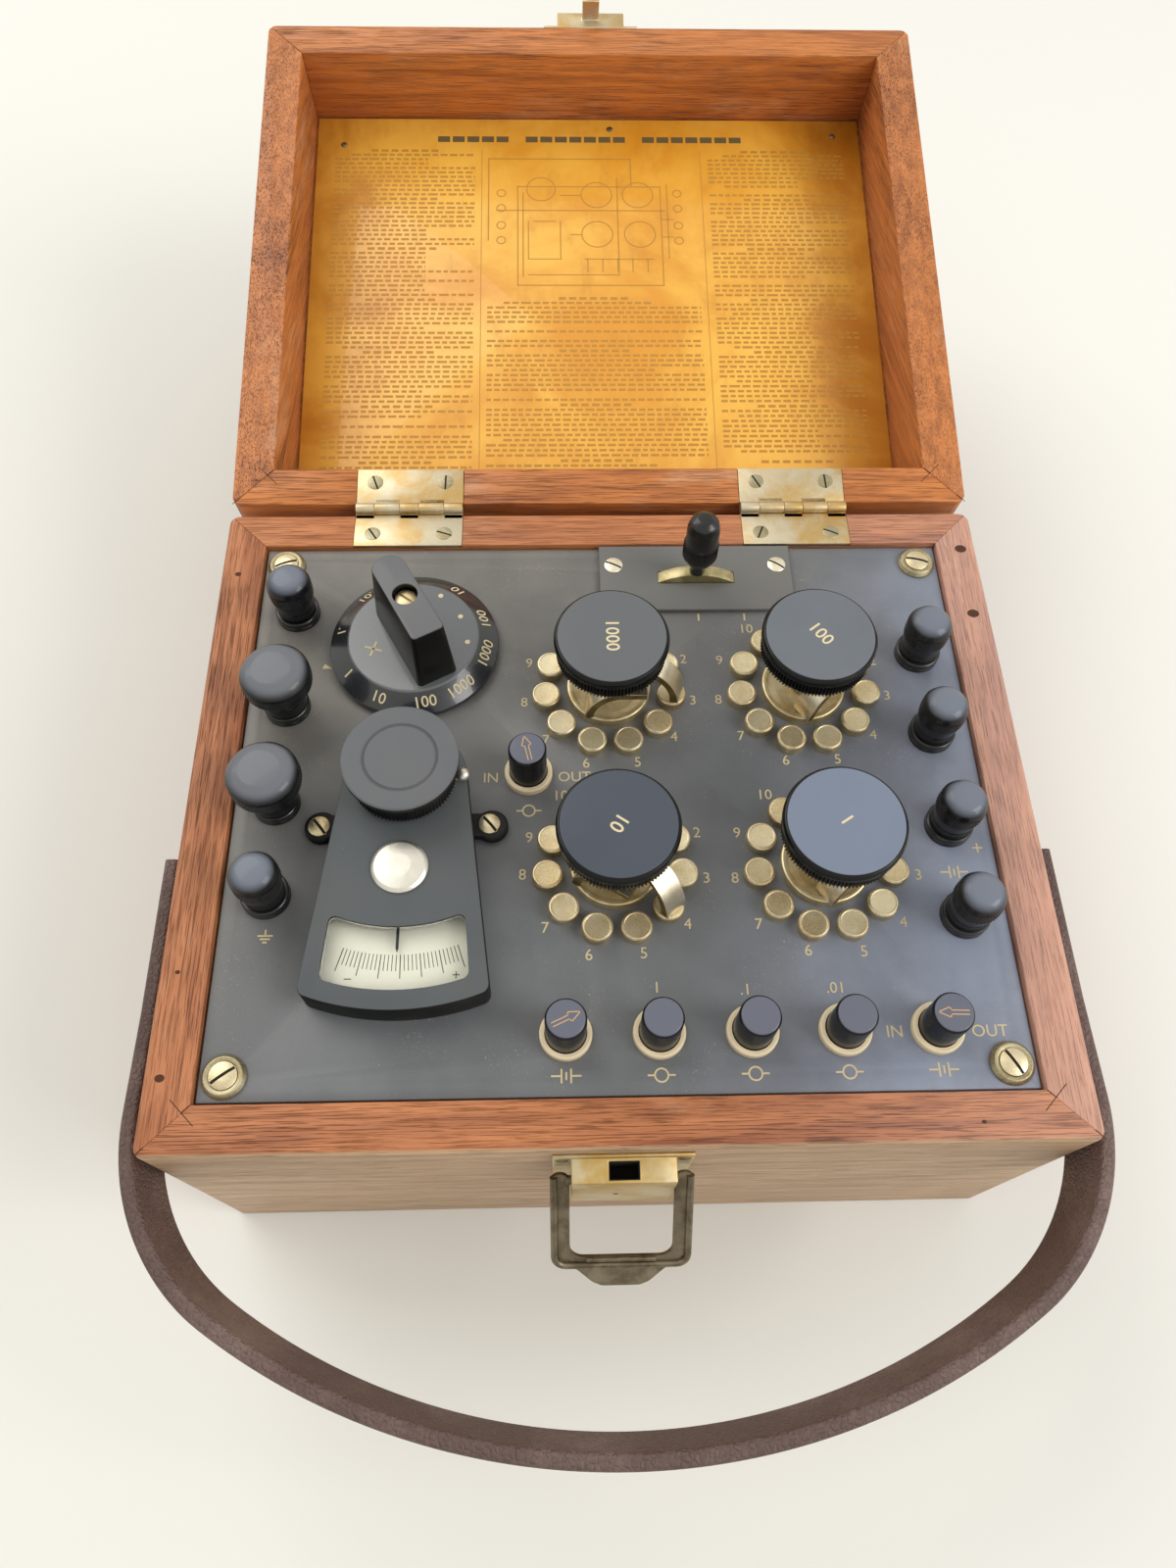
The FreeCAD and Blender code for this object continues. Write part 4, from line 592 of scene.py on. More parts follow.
def piece(name, body, finish, shapes, replaces=(), sharp=32):
    """One finished piece of shapes, each given with its place in millimetres."""
    whole = bmesh.new()
    for shape, place in shapes:
        mesh = as_mesh(shape).copy()
        mesh.transform(place)
        whole.from_mesh(mesh)
        bpy.data.meshes.remove(mesh)
    made = bpy.data.meshes.new(name)
    whole.to_mesh(made)
    whole.free()
    made.transform(Matrix.Scale(MM, 4))
    made.materials.clear()
    made.materials.append(FINISHES[finish])
    for face in made.polygons:
        face.material_index = 0
    made.shade_smooth()
    made.set_sharp_from_angle(angle=math.radians(sharp))
    thing = bpy.data.objects.new(name, made)
    bpy.context.scene.collection.objects.link(thing)
    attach(thing, body)
    if replaces:
        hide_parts(*replaces)


def worked(node, body, finish, width):
    """A CAD node's own shape with its edges eased, standing for the node."""
    shape = bmesh.new()
    shape.from_mesh(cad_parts[node].data)
    bmesh.ops.scale(shape, vec=(1 / MM,) * 3, verts=shape.verts)
    bmesh.ops.remove_doubles(shape, verts=shape.verts, dist=0.002)
    bmesh.ops.dissolve_limit(shape, angle_limit=math.radians(1), verts=shape.verts,
                             edges=shape.edges)
    bmesh.ops.recalc_face_normals(shape, faces=shape.faces)
    soften(shape, width)
    piece(f"{node}_worked", body, finish, [(shape, UPRIGHT)], (node,))


def lettering(text, size, x, y, z, turn=0.0, thicken=0.0):
    """Flat characters whose middle lies at a place."""
    curve = bpy.data.curves.new("characters", "FONT")
    curve.body = text
    curve.size = size
    curve.offset = thicken
    curve.align_x = "CENTER"
    curve.align_y = "CENTER"
    curve.resolution_u = 3
    return evaluated(bpy.data.objects.new("characters", curve)), at(x, y, z, turn)


# Case, lid and card

worked("case_ends", "case", "wood_x", 0.7)
worked("case_sides", "case", "wood_y", 0.7)
worked("case_bottom", "case", "wood_plain", 0.4)
worked("panel_blocks", "case", "wood_plain", 0.4)
worked("lid_ends", "lid", "lid_x", 0.8)
worked("lid_sides", "lid", "lid_y", 0.8)
worked("lid_top", "lid", "lid_x", 0.9)
worked("lid_card", "lid", "card", 0.2)
worked("panel", "case", "panel", 0.25)


def seam_lines(x_way, y_way, height):
    """The open lines of a keyed corner joint, seen on the rim."""
    lines = []
    for out, across, length in ((1.3, False, 2.6), (2.6, True, 9.0), (15.6, False, 3.4)):
        x = (INNER_CORNER[0] + out * DIAGONAL) * x_way
        y = (INNER_CORNER[1] + out * DIAGONAL) * y_way
        turn = 45 * x_way * y_way + (90 if across else 0)
        lines.append((block(length, 0.22, 0, MARK_DEPTH, 0.0), at(x, y, height, turn)))
    return lines


seams = seam_lines(-1, -1, RIM) + seam_lines(1, -1, RIM)
hole = rod(0.95, 0, MARK_DEPTH, 20)
for x, y, scale in ((-112.4, 74.8, 1.0), (-113.4, -79.0, 1.3), (112.7, 83.2, 1.9), (112.3, 58.3, 1.9),
                    (-112.8, -52.0, 0.7), (88.0, -93.0, 0.6)):
    seams.append((hole, at(x, y, RIM) @ Matrix.Diagonal((scale, scale * 0.8, 1, 1))))
piece("rim_seams_and_plugs", "case", "seam", seams)
lid_seams = seam_lines(-1, 1, LID_RIM - MARK_DEPTH) + seam_lines(1, 1, LID_RIM - MARK_DEPTH)
piece("lid_seams", "lid", "seam", [(shape, OPEN_LID @ place) for shape, place in lid_seams])


# Small slotted screws: radius, rise, slot width and slot depth of each kind

SCREW_HEADS = {
    "panel": (3.6, 0.8, 0.8, 0.7),
    "hinge": (2.6, 0.18, 0.6, 0.15),
    "lock": (1.7, 0.4, 0.5, 0.6),
    "grip": (3.1, 0.5, 0.8, 1.0),
    "selector": (2.9, 0.6, 0.6, 0.5),
    "galvanometer": (3.0, 0.9, 0.8, 0.8),
}


def slotted_screw(kind):
    """A screw head with its slot along X, its seat at height 0."""
    radius, dome, width, depth = SCREW_HEADS[kind]
    head = turned([(0, -0.6), (radius, -0.6), (radius, dome * 0.35, 0.25),
                   (radius * 0.5, dome * 0.9, radius), (0, dome)], 32)
    slot = block(radius * 3, width, dome - depth, dome + 2, 0.0)
    return carved(head, slot)


def row_of_screws(name, body, finish, kind, places, on_lid=False):
    """Slotted screws, each with painted shade along the floor of its slot."""
    head = slotted_screw(kind)
    radius, dome, width, depth = SCREW_HEADS[kind]
    # Painted shade: a dark sheet on the floor of each slot.
    slot_shade = block(radius * 1.9, width * 0.94, dome - depth - 0.05, dome - depth + 0.08, 0.0)
    spots = [(OPEN_LID if on_lid else UPRIGHT) @ at(x, y, z, turn) @ tilt
             for x, y, z, turn, tilt in places]
    piece(f"{name}_slots", body, "dark", [(slot_shade, spot) for spot in spots])
    piece(name, body, finish, [(head, spot) for spot in spots])


corner_screws = []
screw_turns = {(-1, 1): 20, (1, 1): -15, (-1, -1): 35, (1, -1): -60}
cup = turned([(3.66, 0), (5.65, 0), (5.65, 0.5, 0.2), (4.75, 1.7, 0.4), (3.66, 1.5, 0.2)], 40, True)
cups = []
for (x_way, y_way), turn in screw_turns.items():
    x, y = PANEL_SCREWS[0] * x_way, PANEL_SCREWS[1] * y_way
    cups.append((cup, at(x, y, PANEL)))
    corner_screws.append((x, y, PANEL + 1.5, turn, UPRIGHT))
shank = turned([(0, -20), (2, -20), (2, 0), (3, 0.8), (0, 0.8)], 16)
piece("panel_screw_cups", "case", "dull",
      cups + [(shank, place) for _, place in cups], ("panel_screws",))
row_of_screws("panel_screw_heads", "case", "brass", "panel", corner_screws)


# Hinges

LEAF_LENGTH = 33.8
LEAF_BREADTH = 12.3
LEAF_FACES = (-1.4, -0.2)
LID_KNUCKLE = 8
CASE_KNUCKLE = (LEAF_LENGTH - LID_KNUCKLE * 2) / 3
END_PLAY = 0.1


def hinge_leaf(middles, lengths):
    """A leaf below its pin, with round knuckles at the given places along it."""
    shapes = [(block(LEAF_LENGTH, LEAF_BREADTH, *LEAF_FACES, 0.15), at(0, -8.25, 0))]
    for middle, length in zip(middles, lengths):
        barrel = turned([(1.05, 0), (2, 0, 0.15), (2, length, 0.15), (1.05, length)], 24, True)
        shapes.append((barrel, at(middle - length / 2, 0, 0, 90, "Y")))
        shapes.append((block(length, 2.6, *LEAF_FACES, 0.1), at(middle, -2.3, 0)))
    return shapes


outer_knuckle = (LEAF_LENGTH - CASE_KNUCKLE) / 2
between = (CASE_KNUCKLE + LID_KNUCKLE) / 2
case_leaf = hinge_leaf((-outer_knuckle, 0, outer_knuckle), (CASE_KNUCKLE - END_PLAY,) * 3)
lid_leaf = hinge_leaf((-between, between), (LID_KNUCKLE - END_PLAY,) * 2)
pin = turned([(0, 0), (1, 0, 0.3), (1, LEAF_LENGTH, 0.3), (0, LEAF_LENGTH)], 20)
case_leaf.append((pin, at(-LEAF_LENGTH / 2, 0, 0, 90, "Y")))
case_side, lid_side, case_heads, lid_heads = [], [], [], []
case_turns = iter((-58, -20, 68, -25))
lid_turns = iter((70, 92, 60, 85))
for middle in HINGES:
    here = at(middle, PIN[1], PIN[2])
    case_side += [(shape, here @ place) for shape, place in case_leaf]
    lid_side += [(shape, OPEN_LID @ here @ at(turn=180, axis="Y") @ place)
                 for shape, place in lid_leaf]
    for side in (-11.2, 11.2):
        case_heads.append((middle + side, 90.3, RIM, next(case_turns), UPRIGHT))
        lid_heads.append((middle + side, 90.3, LID_RIM, next(lid_turns), UPSIDE_DOWN))
piece("hinge_lower_leaves", "case", "nickel", case_side, ("hinge_case_leaves",))
piece("hinge_upper_leaves", "lid", "nickel", lid_side, ("hinge_lid_leaves",))
row_of_screws("hinge_lower_screws", "case", "dull", "hinge", case_heads)
row_of_screws("hinge_upper_screws", "lid", "dull", "hinge", lid_heads, True)


# Latch

BAIL_TURN = 139
BAIL_AXIS = (FRONT - 4, RIM - 18)
LATCH_SCREWS = (("lock_screws", "case", 15.2, 92.5), ("catch_screws", "lid", 14.6, LID_RIM + 6))
worked("latch_lock", "case", "lock", 0.6)
worked("lid_catch", "lid", "nickel", 0.4)
# Painted shade: a dark lining inside the latch slot and a dark disc for the lock's hole.
slot_floor, slot_mouth = RIM - 14.55, RIM - 4.7
slot_shade_lining = carved(block(7.5, 4.4, slot_floor, slot_mouth, 0.0),
                block(7.2, 4.1, slot_floor + 0.55, slot_mouth + 1.7, 0.0))
lock_hole_shade = rod(0.7, 0, 0.05, 16)
piece("lock_slot_shade", "case", "dark",
      [(slot_shade_lining, at(0, FRONT - 4.05)), (lock_hole_shade, at(-1.6, FRONT - 7.1, RIM - 21.1) @ FACING_FRONT)])

bail_hang = at(0, *BAIL_AXIS, BAIL_TURN, "X") @ FACING_FRONT
frame_line = [(-18.1, -2.2, 2.2), (-13.3, -2.2, 2.2), (-13.3, 24.6, 3.5), (13.3, 24.6, 3.5),
              (13.3, -2.2, 2.2), (18.1, -2.2, 2.2), (18.1, 27.8, 3.6), (12, 28.2, 3),
              (7.5, 33, 4), (5, 34.3, 3), (-5, 34.3, 3), (-7.5, 33, 4), (-12, 28.2, 3),
              (-18.1, 27.8, 3.6)]
bail_plate = slab(rounded(frame_line), -0.7, 0.7, 0.35)
stub = rod(1.2, 0, 4, 20)
edge_line = rounded([(-17.3, -1.5), (-17.3, 27, 3), (17.3, 27, 3), (17.3, -1.5)], False)


def tube_along(points, radius, lift):
    """A round bar along a line of flat points."""
    path = [(Vector((*point, lift)), Vector((-way.y, way.x, 0)), Vector((0, 0, 1)))
            for point, way in zip(points, directions(points))]
    return swept(arc(radius, 0, 330, 11), path)


bail_shapes = [(bail_plate, bail_hang), (tube_along(edge_line, 0.95, -0.75), bail_hang),
               (tube_along(rounded([(-9, 25.3), (9, 25.3)], False), 0.7, -0.7), bail_hang),
               (stub, bail_hang @ at(-14.3, 0, 0, 90, "Y")),
               (stub, bail_hang @ at(10.3, 0, 0, 90, "Y"))]
piece("bail_frame", "latch_bail", "steel", bail_shapes, ("latch_bail",))
for name, body, aside, height in LATCH_SCREWS:
    places = [(x, FRONT - 1, height, 0, FACING_FRONT) for x in (-aside, aside)]
    row_of_screws(name, body, "steel", "lock", places, body == "lid")


# Carrying strap: a band bent round the front, its top leaning outwards there

STRAP_END = (117.5, -28, 80)
STRAP_HALF = 122.5
STRAP_REACH = 161.5
STRAP_BOW = 175
STRAP_CORNER = 56
STRAP_LEAN = 11
LEAN_START = 60
LEAN_LENGTH = 70
STRAP_THICKNESS = 4
STRAP_WIDTH = 20
PIVOT_COVER = 12


def strap_path():
    """The band's middle line: straight sides, a tight curve at each corner and a wide one between."""
    bow_middle = STRAP_BOW - STRAP_REACH
    side = STRAP_HALF - STRAP_CORNER
    drop = math.sqrt((STRAP_BOW - STRAP_CORNER) ** 2 - side ** 2)
    start = STRAP_END[1] + PIVOT_COVER
    line = [(STRAP_HALF, start + step * (bow_middle - drop - start) / 8) for step in range(8)]
    turn_end = math.degrees(math.atan2(-drop, side))
    line += arc(STRAP_CORNER, 0, turn_end, 24, side, bow_middle - drop)
    right_side = len(line)
    line += arc(STRAP_BOW, turn_end, -180 - turn_end, 72, 0, bow_middle)[1:]
    line += [(-x, y) for x, y in reversed(line[:right_side])][1:]
    return line


strap_line = [Vector((x, y, 0)) for x, y in strap_path()]
strap_frames = []
for point, way in zip(strap_line, directions(strap_line)):
    outwards = Vector((way.y, -way.x, 0))
    if outwards.dot(point - Vector((0, STRAP_END[1], 0))) < 0:
        outwards.negate()
    lean = math.radians(STRAP_LEAN) * min(1, max(0, (-point.y - LEAN_START) / LEAN_LENGTH))
    across = outwards * math.cos(lean) - Vector((0, 0, 1)) * math.sin(lean)
    upwards = Vector((0, 0, 1)) * math.cos(lean) + outwards * math.sin(lean)
    strap_frames.append((point + Vector((0, 0, STRAP_END[2])), across, upwards))
half_thick, half_wide = STRAP_THICKNESS / 2, STRAP_WIDTH / 2
strap_section = rounded([(-half_thick, -half_wide, 1.2), (half_thick, -half_wide, 1.2),
                         (half_thick, half_wide, 1.2), (-half_thick, half_wide, 1.2)])
strap_band = swept(strap_section, strap_frames)
piece("leather_strap", "strap", "leather", [(strap_band, UPRIGHT)], ("strap",))
washer = turned([(2.45, 0), (7, 0, 0.3), (7, 2.7, 0.3), (2.45, 2.7)], 40, True)
strap_screw = carved(turned([(0, -9), (2.4, -9), (2.4, 7.3), (5.5, 7.3, 0.2), (5.3, 7.9, 0.4),
                             (3.2, 9.0, 2.0), (0, 9.1)], 40),
                     block(14, 1.0, 8.2, 11, 0.0))
pivots = []
for way in (-1, 1):
    for shape in (washer, strap_screw):
        pivots.append((shape, at(STRAP_END[0] * way, *STRAP_END[1:], 90 * way, "Y") @ at(turn=50)))
piece("strap_screws", "case", "nickel", pivots, ("strap_pivots",))


# Decade switches

stud = turned([(0, 0), (4.2, 0), (4.2, 2.8, 0.2), (3.8, 3.26, 0.2), (3.45, 3.3, 0.1),
               (3.3, 3.2, 0.1), (0, 3.12)], 36)
collector = turned([(3.1, 0), (12.1, 0), (12.1, 3.1, 0.3), (11.6, 3.3, 0.2), (10.9, 3.3, 0.2),
                    (10.1, 2.5, 0.6), (8.2, 1.9, 1.0), (3.1, 1.6)], 64, True)
studs, bowls = [], []
for x, y, reading, label, turn in DIALS.values():
    studs.append((ring_of(stud, CONTACTS, CONTACT_CIRCLE), at(x, y, PANEL)))
    bowls.append((collector, at(x, y, PANEL)))
piece("contact_studs", "case", "brass", studs, ("decade_contacts",))
piece("collector_bowls", "case", "gold", bowls)

# Painted light: each knob's top tone is its painted sheen, lighter and bluer towards the right where the
# window light falls, darkest at the front left.
KNOB_TOP_SHEEN = {"thousands": tone(100, 103, 105), "hundreds": tone(107, 112, 118),
             "tens": tone(74, 80, 90), "units": tone(118, 127, 144)}
KNOB_BASE = 19.8
KNOB_TOP = 28.6
KNOB_RADIUS = 14.7
LIP_RADIUS = 15.85
LIP_BASE = 25
RIBS = 96
knob = turned([(0, KNOB_BASE), (KNOB_RADIUS - 0.3, KNOB_BASE, 0.6), (KNOB_RADIUS, KNOB_BASE + 1, 0.4),
               (KNOB_RADIUS, LIP_BASE), (15.3, LIP_BASE + 0.4, 0.2), (LIP_RADIUS, LIP_BASE + 0.9, 0.3),
               (LIP_RADIUS, KNOB_TOP - 1.2, 0.5), (15.4, KNOB_TOP - 0.5, 0.2),
               (15.05, KNOB_TOP - 0.4, 0.1), (14.75, KNOB_TOP, 0.2), (0, KNOB_TOP)], RIBS)
rib = slab([(-0.42, -0.25), (0, 0.5), (0.42, -0.25)], KNOB_BASE + 0.5, LIP_BASE)
ribs = ring_of(rib, RIBS, KNOB_RADIUS + 0.05)
BRUSH_LEAVES = 6
LEAF_GAUGE = 0.34
LEAF_PITCH = 0.42
LEAF_HALF_WIDTH = 3.2
ARCH_REACH = 10.7
ARCH_RISE = 12.3
ARCH_MIDDLE = -8
LEAF_END = -14.5
CONTACT_TOP = 3.38
HOLDER_BASE = 12.6
STEM_FOOT = -18.35
STEM_RADIUS = 3
STEM_BORE = 3.1
OUTER_CONTACT = at(0, CONTACT_CIRCLE, 0, 80)
INNER_TURN = at(turn=-112)
INNER_CONTACT = at(0, 8.8, -0.5, 30)


def brush_leaf(number):
    """One thin leaf, arched from its contact up into the holder."""
    reach, rise = ARCH_REACH - number * LEAF_PITCH, ARCH_RISE - number * LEAF_PITCH
    outline = []
    for inset in (0, LEAF_GAUGE):
        turns = [math.radians(step * 6) for step in range(16)]
        arch = [((reach - inset) * math.cos(turn) + ARCH_MIDDLE,
                 CONTACT_TOP + (rise - inset) * math.sin(turn)) for turn in turns]
        arch.append((LEAF_END, CONTACT_TOP + rise - inset))
        outline += arch[::-1] if inset else arch
    leaf = slab(outline, -LEAF_HALF_WIDTH, LEAF_HALF_WIDTH)
    bmesh.ops.transform(leaf, matrix=FACING_FRONT, verts=leaf.verts)
    return as_mesh(leaf)


brush_leaves = [brush_leaf(number) for number in range(BRUSH_LEAVES)]
stem_top = KNOB_BASE + 0.2
hub = turned([(STEM_BORE, HOLDER_BASE), (8, HOLDER_BASE, 0.3), (8, stem_top), (STEM_BORE, stem_top)],
             48, True)
spindle = turned([(0, STEM_FOOT), (STEM_RADIUS, STEM_FOOT, 0.4), (STEM_RADIUS, stem_top), (0, stem_top)],
                 24)
for name, (x, y, reading, label, turn) in DIALS.items():
    body = f"{name}_switch"
    stop = at(x, y, PANEL, -reading * 360 / CONTACTS)
    FINISHES[f"{name}_knob"] = rubber(f"{name}_knob_rubber", tone(6, 6, 7), 0.2, 0.03, 0.1,
                                      KNOB_TOP_SHEEN[name], (KNOB_TOP - 0.25, KNOB_TOP - 0.08))
    piece(f"{name}_knob_turning", body, f"{name}_knob", [(knob, stop), (ribs, stop)],
          (f"{name}_knob",))
    outer, inner = stop @ OUTER_CONTACT, stop @ INNER_TURN @ INNER_CONTACT
    piece(f"{name}_brush_face", body, "bright",
          [(brush_leaves[0], outer), (brush_leaves[0], inner)], (f"{name}_brush",))
    piece(f"{name}_brush_leaves", body, "tarnish",
          [(leaf, place) for leaf in brush_leaves[1:] for place in (outer, inner)])
    piece(f"{name}_brush_holder", body, "gold", [(hub, stop), (spindle, stop)])
    piece(f"{name}_numerals", body, "cream",
          [lettering(label, 5.2, x, y, PANEL + KNOB_TOP + MARK_LIFT, turn, 0.05)])


# Ratio dial

DISC_RADIUS = 24.8
DISC_TOP = 6.5
GRIP_TOP = 27
FIGURE_CIRCLE = 21.8
BEVEL_TILT = 33.3
disc = turned([(0, 0.4), (DISC_RADIUS - 0.4, 0.4, 0.3), (DISC_RADIUS, 1.2, 0.4), (DISC_RADIUS, 2.5, 0.4),
               (18.7, DISC_TOP, 0.8), (0, DISC_TOP)], 96)
grip_foot = rounded([(-6.2, -17, 1.5), (6.2, -17, 1.5), (6.2, 17, 5.5), (-6.2, 17, 5.5)])
grip_top = rounded([(-4.85, -15, 1.2), (4.85, -15, 1.2), (4.85, 15, 4.4), (-4.85, 15, 4.4)])
grip = carved(slab(grip_foot, DISC_TOP - 0.5, GRIP_TOP, 0.6, grip_top),
              rod(3.6, GRIP_TOP - 3, GRIP_TOP + 1, 40))
ratio_place = at(*RATIO, PANEL, GRIP_TURN)
piece("ratio_dial_disc", "ratio_switch", "dial", [(disc, ratio_place)], ("ratio_dial",))
piece("ratio_grip", "ratio_switch", "grip", [(grip, ratio_place)])
piece("ratio_grip_screw", "ratio_switch", "brass",
      [(slotted_screw("grip"), at(*RATIO, PANEL + GRIP_TOP - 2.4, -38))])
ratio_shaft = rod(STEM_RADIUS, STEM_FOOT, 5.9, 24)
piece("ratio_shaft", "ratio_switch", "brass", [(ratio_shaft, at(*RATIO, PANEL))],
      ("ratio_spindle",))
RATIO_FIGURES = (("1", 238), ("10", 205), ("100", 169), ("1000", 139), ("1000", 103), ("100", 70),
                 ("10", 35), (".01", 316), (".1", 279))
figures = []
for text, clock in RATIO_FIGURES:
    x = RATIO[0] + FIGURE_CIRCLE * math.sin(math.radians(clock))
    y = RATIO[1] + FIGURE_CIRCLE * math.cos(math.radians(clock))
    characters, _ = lettering(text, 4.6, 0, 0, 0, 0, 0.03)
    figures.append((characters, at(x, y, PANEL + 4.55, 180 - clock) @ at(turn=BEVEL_TILT, axis="X")))
dot = rod(0.75, 0, MARK_DEPTH, 20)
for x, y in ((15.9, -2.1), (13.6, 7.0), (7.5, 14.6)):
    figures.append((dot, at(RATIO[0] + x, RATIO[1] + y, PANEL + DISC_TOP)))
dash = block(5.2, 0.6, 0, MARK_DEPTH, 0.0)
for turn in (45, -45):
    figures.append((dash, at(-68.4, 43.5, PANEL + DISC_TOP, turn + GRIP_TURN)))
piece("ratio_figures", "ratio_switch", "cream", figures)


# Selector at the back

SELECTOR_SCREWS = (25.4, 77.4)
SECTOR_RADIUS = 21
SECTOR_AXIS = PANEL - 16.1
worked("selector_plate", "case", "plate", 0.3)
worked("selector_bracket", "case", "brass", 0.3)
row_of_screws("selector_plate_screws", "case", "bright", "selector",
              [(LEVER[0] + SELECTOR_SCREWS[0] * way, SELECTOR_SCREWS[1], PANEL + 1.5, turn, UPRIGHT)
               for way, turn in ((-1, -26), (1, -34))])
blade_outline = [(-4, -4, 1), (4, -4, 1)] + arc(SECTOR_RADIUS, 35, 145, 40)
blade = slab(rounded(blade_outline), -2, 2, 0.3)
axle = turned([(0, -6), (2, -6, 0.3), (2, 6, 0.3), (0, 6)], 20)
sector_place = at(*LEVER, SECTOR_AXIS) @ FACING_FRONT
piece("sector_blade", "selector", "blade",
      [(blade, sector_place), (axle, sector_place)], ("selector_sector",))
lever = turned([(0, 4.9), (2.4, 4.9), (2.4, 7.6, 0.6), (4.7, 11.4, 2.0), (5.2, 13.4, 2.0),
                (5.0, 18.2, 0.6), (4.7, 18.8, 0.5), (4.85, 20.4, 0.8), (4.9, 24.2, 2.0),
                (4.2, 27.2, 2.0), (2.2, 28.5, 2.0), (0, 28.6)], 48)
lever_rib = slab([(-0.2, -0.2), (0, 0.2), (0.2, -0.2)], 12.6, 18.0)
piece("lever_turning", "selector", "black",
      [(lever, at(*LEVER, PANEL)), (ring_of(lever_rib, 60, 5.05), at(*LEVER, PANEL))],
      ("selector_lever",))


# Galvanometer

HOUSING_FRONT = 64.3
HOUSING_BACK = 16.8
HOUSING_TOP = 10
WINDOW_FAR = 59.2
WINDOW_NEAR = 42.5
GLASS_BASE = 8.2
STEM_HOLE = 4.1
SCALE_FACE = 5.0
TICKS = 31
TICK_STEP = 1.16
TICK_CIRCLE = 50.6


def front_line(reach, half, steps):
    """A curve round the pivot, across the front."""
    points = []
    for step in range(steps + 1):
        x = half * (2 * step / steps - 1)
        points.append((x, -math.sqrt(reach * reach - x * x)))
    return points


def housing_line(grow, corner):
    """The housing in plan, with the radius of its two front corners."""
    front = front_line(HOUSING_FRONT + grow, 24 + grow, 24)
    front = [(*front[0], corner)] + front[2:-2] + [(*front[-1], corner)]
    return rounded(front + arc(HOUSING_BACK + grow, 0, 180, 40), steps=6)


def window_line(grow, corner):
    """The window in plan, with the radius of its corners."""
    far = front_line(WINDOW_FAR + grow, 18.8 + grow, 16)
    near = front_line(WINDOW_NEAR - grow, 17.3 + grow, 16)[::-1]
    far = [(*far[0], corner)] + far[2:-2] + [(*far[-1], corner)]
    near = [(*near[0], corner)] + near[2:-2] + [(*near[-1], corner)]
    return rounded(far + near, steps=5)


galvanometer = at(*PIVOT, PANEL)
housing = carved(slab(housing_line(0, 4.5), 0, HOUSING_TOP, 0.55),
                 slab(housing_line(-2, 3), -1, GLASS_BASE),
                 slab(window_line(0, 2.2), 7, 11),
                 rod(STEM_HOLE, 7, 11, 32))
ear = turned([(0, 0), (4.5, 0), (4.5, 2.0, 0.4), (3.9, 2.5, 0.3), (0, 2.5)], 32)
lug = block(8, 7, 0, 2.4, 0.3)
ears = [(shape, galvanometer @ at(side * 23.2 - inward * side, -10.6))
        for side in (-1, 1) for shape, inward in ((ear, 0), (lug, 4))]
piece("galvanometer_housing", "case", "housing", [(housing, galvanometer)] + ears,
      ("galvanometer_case",), 28)
row_of_screws("galvanometer_screws", "case", "brass", "galvanometer",
              [(PIVOT[0] - 23.6, PIVOT[1] - 10.7, PANEL + 2.5, 128, UPRIGHT),
               (PIVOT[0] + 22.6, PIVOT[1] - 10.5, PANEL + 2.5, 130, UPRIGHT)])
piece("galvanometer_glass", "case", "glass",
      [(slab(window_line(-0.1, 2.1), GLASS_BASE, GLASS_BASE + 1.2, 0.1), galvanometer)],
      ("galvanometer_window",))
piece("galvanometer_plate", "case", "enamel",
      [(slab(window_line(1.2, 3), 0, SCALE_FACE, 0.1), galvanometer)], ("galvanometer_scale",))
scale_start = 179.1 - (TICKS - 1) / 2 * TICK_STEP
on_scale = (SCALE_FACE, SCALE_FACE + MARK_LIFT)
tick = block(0.2, 4.2, *on_scale, 0.0)
long_tick = block(0.24, 6.2, *on_scale, 0.0)
ticks = [(ring_of(tick, TICKS, TICK_CIRCLE, scale_start, TICK_STEP), galvanometer),
         (ring_of(long_tick, 7, TICK_CIRCLE + 1, scale_start, TICK_STEP * 5), galvanometer)]
for x, y, width, height in ((-12.2, -54.6, 1.8, 0.25), (15.0, -53.9, 1.8, 0.25), (15.0, -53.9, 0.25, 1.8)):
    ticks.append((block(width, height, *on_scale, 0.0), galvanometer @ at(x, y)))
piece("scale_ticks", "case", "line", ticks)
pointer_hub = turned([(0, 0.05), (1.6, 0.05), (1.6, 7.8, 0.2), (0, 7.8)], 24)
needle = slab([(-0.3, 0), (-0.36, -44), (-0.36, -47.2), (0, -48.4), (0.36, -47.2), (0.36, -44), (0.3, 0)],
              6.2, 6.8, 0.08)
piece("pointer_needle", "galvanometer_pointer", "needle",
      [(pointer_hub, galvanometer), (needle, galvanometer)], ("galvanometer_pointer",))
button = turned([(0, 0), (7.5, 0), (7.5, 0.6, 0.3), (6.6, 1.3, 1.0), (3.0, 1.6, 3), (0, 1.62)], 64)
piece("bright_disc", "case", "satin",
      [(button, galvanometer @ at(0, -26.2, HOUSING_TOP))], ("galvanometer_button",))
adjuster = turned([(0, 8.4), (4, 8.4), (4, 11.2), (13.2, 11.2, 0.3), (13.6, 11.6, 0.2), (14.1, 19.2),
                   (15.2, 19.5, 0.2), (15.6, 20.1, 0.4), (15.6, 21.6, 0.4), (15.1, 22, 0.3),
                   (10.2, 22, 0.15), (9.9, 21.6, 0.1), (9.5, 21.6, 0.1), (9.2, 22, 0.15), (0, 22)], 96)
barrel_rib = slab([(-0.3, -0.3), (0, 0.35), (0.3, -0.3)], 11.8, 19.1)
piece("adjuster_turning", "zero_adjuster", "adjuster",
      [(adjuster, galvanometer), (ring_of(barrel_rib, 84, 13.85), galvanometer)],
      ("zero_adjuster",))
clamp_arm = carved(slab(rounded([(-6.9, -1.25)] + arc(7, 190, 350, 30) + [(15.4, -1.25), (15.4, 1.25)]
                                + arc(7, 10, 170, 30)), 10.1, 10.9, 0.15),
                   rod(STEM_HOLE, 9, 12, 32))
